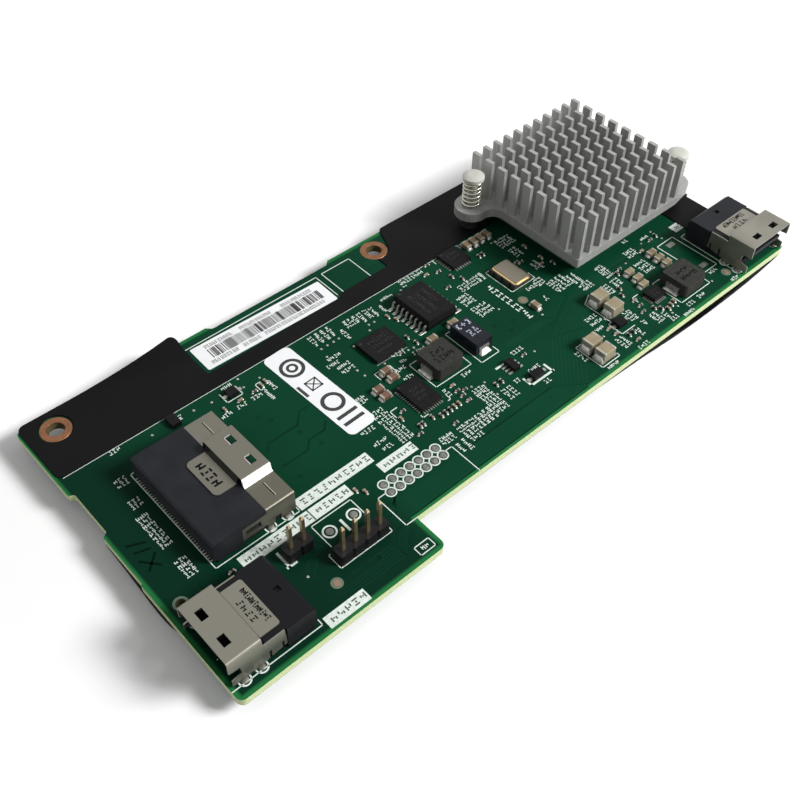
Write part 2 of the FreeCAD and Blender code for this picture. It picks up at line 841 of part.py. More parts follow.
def bulk_capacitor(x, y):
    hw, hl = bulk_w / 2, bulk_l / 2
    lower = Part.makePolygon([V(x - hw, y - hl, bulk_tab_t), V(x + hw, y - hl, bulk_tab_t),
                              V(x + hw, y + hl, bulk_tab_t), V(x - hw, y + hl, bulk_tab_t),
                              V(x - hw, y - hl, bulk_tab_t)])
    d = 0.12
    upper = Part.makePolygon([V(x - hw + d, y - hl, bulk_h), V(x + hw - d, y - hl, bulk_h),
                              V(x + hw - d, y + hl, bulk_h), V(x - hw + d, y + hl, bulk_h),
                              V(x - hw + d, y - hl, bulk_h)])
    body = Part.makeLoft([lower, upper], True, True)
    tabs = []
    for side in (-1, 1):
        outer = side * (hl + bulk_tab_t)
        inner = side * hl
        foot = side * (hl - bulk_foot)
        profile = [(outer, 0), (outer, bulk_tab_h), (inner, bulk_tab_h),
                   (inner, bulk_tab_t), (foot, bulk_tab_t), (foot, 0)]
        tab = side_prism(profile, -bulk_tab_w / 2, bulk_tab_w)
        tab.translate(V(x, y, 0))
        tabs.append(tab)
    return body, tabs


def oscillator(x, y):
    hw, hl = osc_w / 2, osc_l / 2
    base = block(x - hw, x + hw, y - hl, y + hl, 0, osc_base_h)
    cuts = []
    for side in (-1, 1):
        for step in (-1, 0, 1):
            cuts.append(rod(x + side * hw, y + step * osc_l / 3.2, 2 * osc_notch_r,
                            -1, osc_base_h + 1))
    base = base.cut(cuts)
    m = osc_notch_r + osc_ring_in
    lid = plate(rectangle(x - hw + m, y - hl + osc_ring_in, x + hw - m, y + hl - osc_ring_in,
                          0.4), osc_base_h, osc_lid_h)
    return base, lid


def memory_chip(x, y):
    """Wide gull-wing package: drafted body and two rows of bent leads."""
    hw, hl, d = mem_w / 2, mem_l / 2, mem_draft
    middle = (mem_lift + mem_h) / 2

    def level(inset, z):
        return Part.makePolygon([
            V(x - hw + inset, y - hl + inset, z), V(x + hw - inset, y - hl + inset, z),
            V(x + hw - inset, y + hl - inset, z), V(x - hw + inset, y + hl - inset, z),
            V(x - hw + inset, y - hl + inset, z)])

    body = Part.makeLoft([level(d, mem_lift), level(0, middle)], True, True)
    body = body.fuse(Part.makeLoft([level(0, middle), level(d, mem_h)], True, True))
    leads = []
    t, half_t = mem_lead_t, mem_lead_t / 2
    tip = mem_lead_reach
    knee = tip - mem_lead_foot
    for side in (-1, 1):
        corners = [(side * px, pz, 0) for px, pz in (
            (0, middle - half_t), (knee * 0.45, middle - half_t), (knee, 0), (tip, 0),
            (tip, t), (knee + 0.12, t), (knee * 0.45 + 0.12, middle + half_t),
            (0, middle + half_t))]
        for i in range(mem_lead_count):
            ly = y + (i - (mem_lead_count - 1) / 2) * mem_lead_pitch
            lead = front_prism(corners, ly - mem_lead_w / 2, mem_lead_w)
            lead.translate(V(x + side * hw, 0, 0))
            leads.append(lead)
    return body.removeSplitter(), leads


def flat_ic(x, y, w, l):
    return plate(rectangle(x - w / 2, y - l / 2, x + w / 2, y + l / 2, 0.1), 0, flat_ic_h)


def chip_cap(x, y, w, l, h, end, along_x=True):
    """Ceramic chip part: bar with slightly proud plated ends."""
    e = cap_edge
    bar = block(-w / 2 + end, w / 2 - end, -l / 2 + e, l / 2 - e, 0, h - e)
    ends = [block(-w / 2, -w / 2 + end, -l / 2, l / 2, 0, h),
            block(w / 2 - end, w / 2, -l / 2, l / 2, 0, h)]
    part = bar.fuse(ends)
    if not along_x:
        part.rotate(V(0, 0, 0), V(0, 0, 1), 90)
    part.translate(V(x, y, 0))
    return part


def small_part(x, y, size, along_x):
    w, l, h = size
    if not along_x:
        w, l = l, w
    return block(x - w / 2, x + w / 2, y - l / 2, y + l / 2, 0, h)


# centre, then True where the long side runs along X
large_caps = [(96.8, -41.3), (96.8, -44.9), (86.1, -48.6), (86.1, -51.85)]
large_cap_size = (3.2, 2.6, 2.5)
medium_cap_size = (2.1, 1.3, 1.1)
medium_caps = [
    (88.9, -12.05, False), (90.8, -12.05, False), (92.75, -12.05, False), (94.7, -12.05, False),
    (48.3, -30.5, True), (48.3, -32.5, True), (52.4, -29.9, True), (52.4, -27.9, True),
    (108.0, -39.8, True), (108.0, -42.0, True), (107.3, -44.0, True), (116.2, -38.9, True), (116.2, -40.9, True),
    (116.2, -42.9, True), (64.6, -27.4, True), (70.6, -26.8, True), (86.4, -34.0, False)]
small_size = (1.0, 0.5, 0.45)
small_parts = [
    (48.4, -41.6, False), (49.2, -41.6, False), (51.4, -41.5, False), (52.9, -42.3, False),
    (54.0, -42.3, False), (55.1, -42.3, False), (56.2, -42.3, False), (57.3, -42.3, False),
    (47.0, -38.2, False), (47.2, -43.0, True), (53.6, -45.3, True), (59.4, -38.4, True),
    (59.2, -39.9, True), (59.2, -41.4, True), (59.2, -42.9, True), (60.4, -40.6, True),
    (65.6, -43.5, False), (67.0, -43.5, False), (76.6, -12.9, True), (79.2, -13.8, True),
    (77.4, -18.6, True), (80.2, -16.6, False), (81.4, -18.4, False), (88.8, -15.8, False),
    (89.9, -15.8, False), (93.2, -22.2, True), (94.0, -22.8, True), (96.9, -25.9, True),
    (98.3, -24.4, False), (98.3, -19.8, False), (99.0, -27.2, False), (78.8, -10.8, True),
    (28.2, -15.8, True), (24.8, -15.8, False), (31.4, -15.8, True), (33.3, -15.4, False),
    (34.4, -15.0, False), (30.6, -44.9, False), (31.7, -46.2, False), (5.9, -44.2, True),
    (102.6, -45.7, True), (102.4, -47.4, True), (101.4, -48.9, True), (103.9, -49.6, False),
    (104.9, -50.6, False), (105.9, -51.6, False), (107.2, -51.2, False), (108.4, -50.9, False),
    (94.2, -51.2, False), (95.6, -51.2, False), (94.6, -53.2, True), (92.6, -47.6, True),
    (92.6, -49.4, True), (101.9, -43.0, False), (103.1, -41.4, False), (106.2, -38.2, False),
    (119.8, -35.8, True), (121.8, -35.5, False), (115.6, -36.9, True), (107.6, -37.6, True),
    (62.0, -25.8, False), (61.6, -23.6, False), (62.6, -16.9, False),
    (63.4, -18.6, False), (48.4, -37.0, True), (75.0, -41.6, True), (58.0, -26.2, True)]


def mini_semiconductors():
    return [block(15.4, 17.2, -13.6, -11.0, 0, mini_ic_h),
            block(27.0, 29.0, -14.4, -12.6, 0, mini_ic_h),
            block(70.4, 71.9, -43.6, -40.8, 0, mini_ic_h),
            block(71.6, 74.2, -47.6, -46.0, 0, mini_ic_h),
            block(94.05, 96.35, -49.0, -47.0, 0, mini_ic_h)]


# ------------------------------------------------------------------- labels
def sticker(x, y, w, l, r, turn):
    shape = plate(rectangle(-w / 2, -l / 2, w / 2, l / 2, r), 0, label_t)
    shape.rotate(V(0, 0, 0), V(0, 0, 1), turn)
    shape.translate(V(x, y, 0))
    return shape


# ------------------------------------------------------------------ assembly
save("circuit_board", circuit_board())
save("top_insulator", top_insulator())
save("underside_insulator", underside_insulator())

half_chip, half_lid, half_pad = chip_w / 2, lid_w / 2, thermal_pad_w / 2
save("controller_chip", block(chip_x - half_chip, chip_x + half_chip,
                              chip_y - half_chip, chip_y + half_chip, 0, chip_substrate_t))
save("chip_lid", plate(rectangle(chip_x - half_lid, chip_y - half_lid, chip_x + half_lid,
                                 chip_y + half_lid, 1.0), lid_z, lid_t))
save("thermal_pad", block(chip_x - half_pad, chip_x + half_pad,
                          chip_y - half_pad, chip_y + half_pad, pad_z, plate_z))
save("heatsink", heatsink())
save("push_pins", group([push_pin(x, y) for x, y in pin_places]))
save("push_pin_springs", group([spring(x, y) for x, y in pin_places]))

shell, housing = small_shell(), small_housing()
tails = contact_tails(small_contact_count, small_depth)
save("port_a_shell", local_to_port_a(shell))
save("port_a_housing", local_to_port_a(housing))
save("port_a_contacts", group([local_to_port_a(t) for t in tails]))
save("port_b_shell", local_to_port_b(shell))
save("port_b_housing", local_to_port_b(housing))
save("port_b_contacts", group([local_to_port_b(t) for t in tails]))
save("wide_port_shell", local_to_wide(wide_shell()))
save("wide_port_housing", local_to_wide(wide_housing()))
save("wide_port_contacts", group([local_to_wide(t)
                                  for t in contact_tails(wide_contact_count, wide_depth)]))

two, four = header_places()
save("header_two_body", header_body(two))
save("header_four_body", header_body(four))
save("header_pins", group([header_pin(x, y) for x, y in two + four]))

coil_bodies, coil_tabs = [], []
for x, y in ((coil1_x, coil1_y), (coil2_x, coil2_y)):
    body, tabs = coil_parts(x, y)
    coil_bodies.append(body)
    coil_tabs += tabs
save("inductor_bodies", group(coil_bodies))
save("inductor_terminals", group(coil_tabs))
body, tabs = bulk_capacitor(bulk_x, bulk_y)
save("bulk_capacitor_body", body)
save("bulk_capacitor_terminals", group(tabs))
base, lid = oscillator(osc_x, osc_y)
save("oscillator_base", base)
save("oscillator_lid", lid)
body, leads = memory_chip(mem_x, mem_y)
save("memory_chip_body", body)
save("memory_chip_leads", group(leads))
save("logic_chip", flat_ic(logic_x, logic_y, logic_w, logic_l))
save("power_stage_chip", flat_ic(stage_x, stage_y, stage_w, stage_l))
save("regulator_chip", flat_ic(regulator_x, regulator_y, regulator_w, regulator_w))
save("charger_chip", flat_ic(charger_x, charger_y, charger_w, charger_l))
save("mini_semiconductors", group(mini_semiconductors()))
save("large_chip_capacitors", group([chip_cap(x, y, *large_cap_size, 0.5)
                                     for x, y in large_caps]))
save("medium_chip_capacitors", group([chip_cap(x, y, *medium_cap_size, 0.35, along)
                                      for x, y, along in medium_caps]))
save("small_chip_parts", group([small_part(x, y, small_size, along)
                                for x, y, along in small_parts]))

save("barcode_label", sticker(barcode_x, barcode_y, barcode_w, barcode_h, barcode_r,
                              barcode_turn))
save("marks_label", sticker(marks_x, marks_y, marks_w, marks_l, marks_r, marks_turn))
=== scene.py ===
import math

import bpy
import numpy as np
from mathutils import Matrix, Vector


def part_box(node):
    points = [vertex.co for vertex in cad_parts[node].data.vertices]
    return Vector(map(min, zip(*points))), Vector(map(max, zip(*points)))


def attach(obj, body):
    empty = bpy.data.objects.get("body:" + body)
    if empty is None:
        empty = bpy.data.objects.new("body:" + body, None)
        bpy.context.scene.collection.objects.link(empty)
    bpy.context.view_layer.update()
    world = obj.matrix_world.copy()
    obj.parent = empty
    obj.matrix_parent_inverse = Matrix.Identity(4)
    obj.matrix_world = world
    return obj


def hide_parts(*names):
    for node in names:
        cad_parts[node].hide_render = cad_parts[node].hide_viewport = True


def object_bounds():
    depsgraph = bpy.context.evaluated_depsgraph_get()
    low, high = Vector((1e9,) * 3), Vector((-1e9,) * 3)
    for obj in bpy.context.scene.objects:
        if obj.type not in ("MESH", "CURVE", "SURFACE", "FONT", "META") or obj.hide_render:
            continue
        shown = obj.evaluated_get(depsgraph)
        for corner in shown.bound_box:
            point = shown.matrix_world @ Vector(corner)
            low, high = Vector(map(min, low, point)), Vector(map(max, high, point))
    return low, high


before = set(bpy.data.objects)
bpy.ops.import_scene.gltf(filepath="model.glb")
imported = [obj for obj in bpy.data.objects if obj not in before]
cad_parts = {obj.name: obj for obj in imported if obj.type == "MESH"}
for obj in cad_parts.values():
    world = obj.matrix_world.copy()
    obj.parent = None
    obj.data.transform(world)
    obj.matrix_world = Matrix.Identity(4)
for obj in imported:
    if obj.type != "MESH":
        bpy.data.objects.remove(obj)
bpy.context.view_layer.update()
MM = 0.001


# ------------------------------------------------------------------ camera
# A short telephoto view from the front left, looking down on the component side.
camera_place = Vector((-0.03496, -0.12580, 0.13843))
camera_right = Vector((0.74253, -0.66966, 0.01416))
camera_down = Vector((-0.49087, -0.55843, -0.66874))
camera_forward = Vector((0.45573, 0.48961, -0.74336))
sensor_width = 36.0
focal_length = 1030.97  # in units of which the frame is 800 wide
frame_width = 800
camera_data = bpy.data.cameras.new("view")
camera_data.sensor_width = sensor_width
camera_data.lens = sensor_width * focal_length / frame_width
camera_data.clip_start = 0.005
camera = bpy.data.objects.new("view", camera_data)
bpy.context.scene.collection.objects.link(camera)
axes = Matrix((camera_right, -camera_down, -camera_forward)).transposed().to_4x4()
camera.matrix_world = Matrix.Translation(camera_place) @ axes
bpy.context.scene.camera = camera


# --------------------------------------------------------- shader expressions
# Every finish below is put together with these two classes. Channel turns an
# expression on shader sockets into Math nodes, and Finish holds one material.
class Channel:
    """One number that varies over a surface; arithmetic on it adds Math nodes."""

    def __init__(self, finish, socket):
        self.finish = finish
        self.socket = socket

    def math(self, operation, *operands):
        return self.finish.node("ShaderNodeMath", {"operation": operation},
                                dict(enumerate(operands)))

    def __add__(self, other):
        return self.math("ADD", self, other)

    def __sub__(self, other):
        return self.math("SUBTRACT", self, other)

    def __rsub__(self, other):
        return self.math("SUBTRACT", other, self)

    def __mul__(self, other):
        return self.math("MULTIPLY", self, other)

    def __truediv__(self, other):
        return self.math("DIVIDE", self, other)

    def __gt__(self, other):
        return self.math("GREATER_THAN", self, other)

    def __lt__(self, other):
        return self.math("LESS_THAN", self, other)

    def __abs__(self):
        return self.math("ABSOLUTE", self)

    def lower(self, other):
        return self.math("MINIMUM", self, other)

    def higher(self, other):
        return self.math("MAXIMUM", self, other)

    def ramp(self, start, stop):
        """0 at start, 1 at stop, straight between."""
        return self.finish.node("ShaderNodeMapRange", {"clamp": True},
                                {"Value": self, "From Min": start, "From Max": stop})

    __radd__ = __add__
    __rmul__ = __mul__


class Finish:
    """One material round a Principled shader."""

    def __init__(self, name, color, roughness, **constants):
        self.material = bpy.data.materials.new(name)
        self.material.use_nodes = True
        self.tree = self.material.node_tree
        self.shader = self.tree.nodes["Principled BSDF"]
        self.set("Base Color", color)
        self.set("Roughness", roughness)
        for socket, value in constants.items():
            self.set(socket.replace("_", " "), value)
        self.place = self.node("ShaderNodeTexCoord", output="Object")
        parts = self.node("ShaderNodeSeparateXYZ", {}, {0: self.place}, output=None)
        self.x, self.y, self.z = (Channel(self, parts.outputs[i]) for i in range(3))

    def set(self, socket, value):
        self.plug(self.shader.inputs[socket], value)

    def plug(self, socket, value):
        if isinstance(value, Channel):
            self.tree.links.new(value.socket, socket)
        elif isinstance(value, tuple) and len(value) == 3 and socket.type == "RGBA":
            socket.default_value = (*value, 1.0)
        else:
            socket.default_value = value

    def node(self, kind, settings=None, inputs=None, output=0):
        """Adds a node: its settings first, then its sockets' values or links."""
        node = self.tree.nodes.new(kind)
        for name, value in (settings or {}).items():
            setattr(node, name, value)
        for name, value in (inputs or {}).items():
            self.plug(node.inputs[name], value)
        return node if output is None else Channel(self, node.outputs[output])

    def noise(self, scale, detail=3.0, stretch=None):
        place = self.place
        if stretch:
            place = self.node("ShaderNodeMapping", {}, {"Vector": place, "Scale": stretch})
        return self.node("ShaderNodeTexNoise", {},
                         {"Vector": place, "Scale": scale, "Detail": detail})

    def mix(self, mask, first, second):
        """first where mask is 0 and second where it is 1, both colours."""
        return self.node("ShaderNodeMix", {"data_type": "RGBA"},
                         {0: mask, 6: first, 7: second}, output=2)

    def bump(self, height, strength, distance):
        self.set("Normal", self.node("ShaderNodeBump", {}, {
            "Strength": strength, "Distance": distance, "Height": height}))

    def mottle(self, scale, start, stop, first, second, detail=3.0):
        """Uneven colour: first up to where the noise is start, second from stop on."""
        tone = self.noise(scale, detail).ramp(start, stop)
        self.set("Base Color", self.mix(tone, first, second))

    def grain(self, scale, strength, distance, detail=3.0):
        """A fine, even roughness of the surface."""
        self.bump(self.noise(scale, detail), strength, distance)


def dress(node, finish):
    """Gives a carried-over CAD piece its finish."""
    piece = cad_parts[node]
    piece.data.materials.clear()
    piece.data.materials.append(finish.material)


# --------------------------------------------------------- floor and light
# A plain white floor under two soft lamps and an even white surround. The floor
# gives off a little light of its own, more of it away from the card and behind it.
floor_size = 3.0
floor_gap = 0.0002
low_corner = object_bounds()[0]
floor_mesh = bpy.data.meshes.new("floor")
half_floor = floor_size / 2
floor_mesh.from_pydata([(-half_floor, -half_floor, 0), (half_floor, -half_floor, 0),
                        (half_floor, half_floor, 0), (-half_floor, half_floor, 0)],
                       [], [(0, 1, 2, 3)])
floor = bpy.data.objects.new("floor", floor_mesh)
floor.location = (0.065, -0.03, low_corner[2] - floor_gap)
bpy.context.scene.collection.objects.link(floor)
floor_finish = Finish("plain floor", (0.93, 0.93, 0.93), 0.9)
eye_ray = floor_finish.node("ShaderNodeLightPath", output="Is Camera Ray")
mirror_ray = floor_finish.node("ShaderNodeLightPath", output="Is Glossy Ray")
through_ray = floor_finish.node("ShaderNodeLightPath", output="Is Transmission Ray")
white_ray = eye_ray.higher(mirror_ray).higher(through_ray)
floor_finish.set("Emission Color", floor_finish.mix(white_ray, (0.0, 0.0, 0.0), (1.0, 1.0, 1.0)))
glow_near, glow_far = 0.0075, 0.09  # squares of distances from the floor's middle
glow_behind = (0.034, 0.062)
away_squared = floor_finish.x * floor_finish.x + floor_finish.y * floor_finish.y
floor_finish.set("Emission Strength", 0.03 + 0.75 * away_squared.ramp(glow_near, glow_far)
                 + 0.45 * floor_finish.y.ramp(*glow_behind))
floor_mesh.materials.append(floor_finish.material)

world = bpy.data.worlds.new("surround")
world.use_nodes = True
world_tree = world.node_tree
soft_light = world_tree.nodes["Background"]
seen_white = world_tree.nodes.new("ShaderNodeBackground")
for background, strength in ((soft_light, 0.28), (seen_white, 1.0)):
    background.inputs["Color"].default_value = (1.0, 1.0, 1.0, 1.0)
    background.inputs["Strength"].default_value = strength
rays = world_tree.nodes.new("ShaderNodeLightPath")
seen = rays.outputs["Is Camera Ray"]
for ray in ("Is Transmission Ray", "Is Glossy Ray"):
    larger = world_tree.nodes.new("ShaderNodeMath")
    larger.operation = "MAXIMUM"
    world_tree.links.new(seen, larger.inputs[0])
    world_tree.links.new(rays.outputs[ray], larger.inputs[1])
    seen = larger.outputs[0]
either = world_tree.nodes.new("ShaderNodeMixShader")
world_tree.links.new(seen, either.inputs[0])
world_tree.links.new(soft_light.outputs[0], either.inputs[1])
world_tree.links.new(seen_white.outputs[0], either.inputs[2])
world_tree.links.new(either.outputs[0], world_tree.nodes["World Output"].inputs["Surface"])
bpy.context.scene.world = world


def lamp(name, place, aim, size, power):
    data = bpy.data.lights.new(name, "AREA")
    data.shape = "RECTANGLE"
    data.size, data.size_y = size
    data.energy = power
    light = bpy.data.objects.new(name, data)
    bpy.context.scene.collection.objects.link(light)
    light.location = place
    light.rotation_euler = (Vector(aim) - Vector(place)).to_track_quat("-Z", "Y").to_euler()


lamp("key_lamp", (0.48, -0.54, 0.54), (0.07, -0.03, 0), (0.26, 0.26), 9.8)
lamp("fill_lamp", (-0.45, 0.10, 0.55), (0.06, -0.03, 0), (0.4, 0.4), 0.25)
bpy.context.scene.view_settings.view_transform = "Standard"


# ------------------------------------------------------------ circuit board
# Glass-epoxy laminate with green solder mask on both faces. The routed edge is
# bare laminate, and a rim of the mask along it is brighter. Near the left edge and
# on the tab at the front left the mask carries painted shade, a darker green.
edge_rim = 0.0009
face_skin = 0.00004
left_shade_fade = (0.001, 0.012)
tab_shade_rear_fade = (-0.050, -0.043)
tab_shade_right_fade = (0.031, 0.037)
mask_dark = (0.0038, 0.046, 0.0215)
mask_deep = (0.0031, 0.039, 0.0185)
# Painted shade: the colour of the mask near the left edge and on the tab
mask_painted_shade = (0.0026, 0.0255, 0.0135)
mask_rim = (0.018, 0.150, 0.045)
laminate_pale = (0.52, 0.61, 0.36)
laminate_tan = (0.42, 0.43, 0.23)

board_low, board_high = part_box("circuit_board")
board_top = board_high.z
main_front = -0.0556
tab_right = 0.0346

mask = Finish("green solder mask", mask_dark, 0.32, Specular_IOR_Level=0.03)
from_left = mask.x - board_low.x
from_right = board_high.x - mask.x
from_rear = board_high.y - mask.y
main_inside = from_left.lower(from_right).lower(from_rear).lower(mask.y - main_front)
tab_inside = from_left.lower(mask.y - board_low.y).lower(tab_right - mask.x).lower(from_rear)
inside = main_inside.higher(tab_inside)
rim = 1.0 - inside.ramp(edge_rim * 0.55, edge_rim * 1.15)
planes = mask.noise(38.0, 1.0)
over_planes = mask.mix(planes.ramp(0.40, 0.62), mask_deep, mask_dark)
# Painted shade, from the left edge inward and over the tab at the front left
painted_shade_left = 1.0 - mask.x.ramp(*left_shade_fade)
painted_shade_tab = (1.0 - mask.y.ramp(*tab_shade_rear_fade)) * (1.0 - mask.x.ramp(*tab_shade_right_fade))
shaded_green = mask.mix(painted_shade_left.higher(painted_shade_tab), over_planes, mask_painted_shade)
green = mask.mix(rim, shaded_green, mask_rim)
on_face = (abs(mask.z - (board_low.z + board_high.z) / 2)
           > (board_high.z - board_low.z) / 2 - face_skin)
weave = mask.noise(1400.0, 2.0, (1.0, 1.0, 6.0))
cut_edge = mask.mix(weave.ramp(0.35, 0.7), laminate_pale, laminate_tan)
bored_holes = [(0.0, 0.0, 0.0019), (0.0738, 0.0, 0.0019), (-0.0033, -0.0436, 0.0012)]
hole_brown = (0.10, 0.085, 0.04)
for hole_x, hole_y, hole_r in bored_holes:
    out_x, out_y = mask.x - hole_x, mask.y - hole_y
    in_hole = (out_x * out_x + out_y * out_y) < hole_r ** 2
    cut_edge = mask.mix(in_hole, cut_edge, hole_brown)
mask.set("Base Color", mask.mix(on_face, cut_edge, green))
mask.set("Roughness", 0.72 - 0.40 * on_face)
mask.grain(900.0, 0.25, 0.00002, 4.0)
dress("circuit_board", mask)


# -------------------------------------------------- printed and plated shapes
# Everything flat on the board is a thin layer: white ink, bare copper, solder, or
# mask that lies higher over a copper track. Turned pieces close at a small radius.
ink_t = 0.00003
pole = 0.02 * MM
ink_white = (0.74, 0.80, 0.75)


def flat_bars(starts, ends, width, low, high):
    """Straight bars between pairs of points: each is the line from start to end
    widened by half the width to both sides, carried from low up to high."""
    starts, ends = np.asarray(starts, float), np.asarray(ends, float)
    along = ends - starts
    along /= np.maximum(np.linalg.norm(along, axis=1, keepdims=True), 1e-9)
    half = np.asarray(width, float).reshape(-1, 1) / 2
    across = np.stack([-along[:, 1], along[:, 0]], 1) * half
    ring = np.stack([starts - across - along * half, ends - across + along * half,
                     ends + across + along * half, starts + across - along * half], 1)
    count = len(starts)
    points = np.zeros((count, 8, 3))
    points[:, :4, :2] = ring
    points[:, 4:, :2] = ring
    points[:, :4, 2], points[:, 4:, 2] = low, high
    box = np.array([(3, 2, 1, 0), (4, 5, 6, 7), (0, 1, 5, 4), (1, 2, 6, 5),
                    (2, 3, 7, 6), (3, 0, 4, 7)])
    faces = (np.arange(count)[:, None, None] * 8 + box).reshape(-1, 4)
    return points.reshape(-1, 3), faces


def turned(places, profile, sides=32):
    """Surfaces of revolution about upright axes: each profile point (radius,
    height) goes once round every place, and the last point joins the first."""
    places = np.asarray(places, float).reshape(-1, 2)
    profile = np.asarray(profile, float)
    angle = np.arange(sides) * 2 * np.pi / sides
    rows, count = len(profile), len(places)
    points = np.zeros((count, rows, sides, 3))
    points[..., 0] = places[:, None, None, 0] + profile[None, :, None, 0] * np.cos(angle)
    points[..., 1] = places[:, None, None, 1] + profile[None, :, None, 0] * np.sin(angle)
    points[..., 2] = profile[None, :, None, 1]
    i, j = np.meshgrid(np.arange(rows), np.arange(sides), indexing="ij")
    one = np.stack([i * sides + j, i * sides + (j + 1) % sides,
                    (i + 1) % rows * sides + (j + 1) % sides, (i + 1) % rows * sides + j], -1)
    faces = (np.arange(count)[:, None, None] * rows * sides + one.reshape(-1, 4)).reshape(-1, 4)
    return points.reshape(-1, 3), faces


def join(*meshes):
    """Several (points, faces) pairs as one, each face list moved past the last."""
    points, faces, start = [], [], 0
    for p, f in meshes:
        points.append(p)
        faces.append(np.asarray(f) + start)
        start += len(p)
    return np.concatenate(points), np.concatenate(faces)


def piece(name, mesh, finish, slot, smooth=False, stands_for=()):
    """A new object from (points, faces), carried by the card."""
    points, faces = mesh
    data = bpy.data.meshes.new(name)
    data.from_pydata(points.tolist(), [], faces.tolist())
    data.materials.append(finish.material)
    data.polygons.foreach_set("use_smooth", [smooth] * len(faces))
    data.update()
    made = bpy.data.objects.new(name, data)
    bpy.context.scene.collection.objects.link(made)
    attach(made, "root")
    if stands_for:
        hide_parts(*stands_for)
    return made


def at(*pairs):
    """Places given in millimetres, as an array in metres."""
    return np.array(pairs, float) * MM


def runs(routes):
    """The straight runs of routes of points: all their starts and all their ends."""
    pairs = [pair for route in routes for pair in zip(route, route[1:])]
    return at(*[a for a, _ in pairs]), at(*[b for _, b in pairs])


def section(points, base=board_top):
    """A section from (radius or inset, height above base), in millimetres."""
    return [(r * MM, base + h * MM) for r, h in points]


# Bare copper rings round the two mounting holes
ring_copper = Finish("bare copper ring", (0.42, 0.20, 0.085), 0.38, Metallic=0.75)
ring_copper.mottle(700.0, 0.35, 0.7, (0.27, 0.118, 0.056), (0.19, 0.085, 0.040))
ring_copper.grain(1500.0, 0.3, 0.00002)
ring_t = 0.00006
hole_places = at((0, 0), (73.8, 0))
hole_ring = [(1.62 * MM, board_top), (1.66 * MM, board_top + ring_t),
             (2.80 * MM, board_top + ring_t), (2.88 * MM, board_top)]
piece("hole_rings", turned(hole_places, hole_ring, 64), ring_copper, "tin")

# Round aiming dots: a copper disc inside a ring of bare laminate. The tooling hole
# has such a ring too.
tooling_ring = [(0.86 * MM, board_top), (0.9 * MM, board_top + ring_t),
                (1.28 * MM, board_top + ring_t), (1.32 * MM, board_top)]
aim_places = at((16.9, -56.6), (86.1, -30.9), (123.65, -52.5))
disc = [(pole, board_top), (pole, board_top + ring_t), (0.62 * MM, board_top + ring_t),
        (0.66 * MM, board_top)]
halo_t = 0.00002
halo = [(0.66 * MM, board_top), (0.68 * MM, board_top + halo_t),
        (1.02 * MM, board_top + halo_t), (1.05 * MM, board_top)]
aim_copper = Finish("aiming dot copper", (0.26, 0.17, 0.12), 0.55, Metallic=0.3)
aim_copper.grain(1200.0, 0.3, 0.00002)
bare_laminate = Finish("bare laminate", (0.10, 0.145, 0.10), 0.55)
bare_laminate.grain(1500.0, 0.4, 0.00002)
piece("aiming_dots", turned(aim_places, disc), aim_copper, "tin")
piece("aiming_halos", join(turned(aim_places, halo), turned(at((-3.3, -43.6)), tooling_ring, 48)),
      bare_laminate, "laminate")


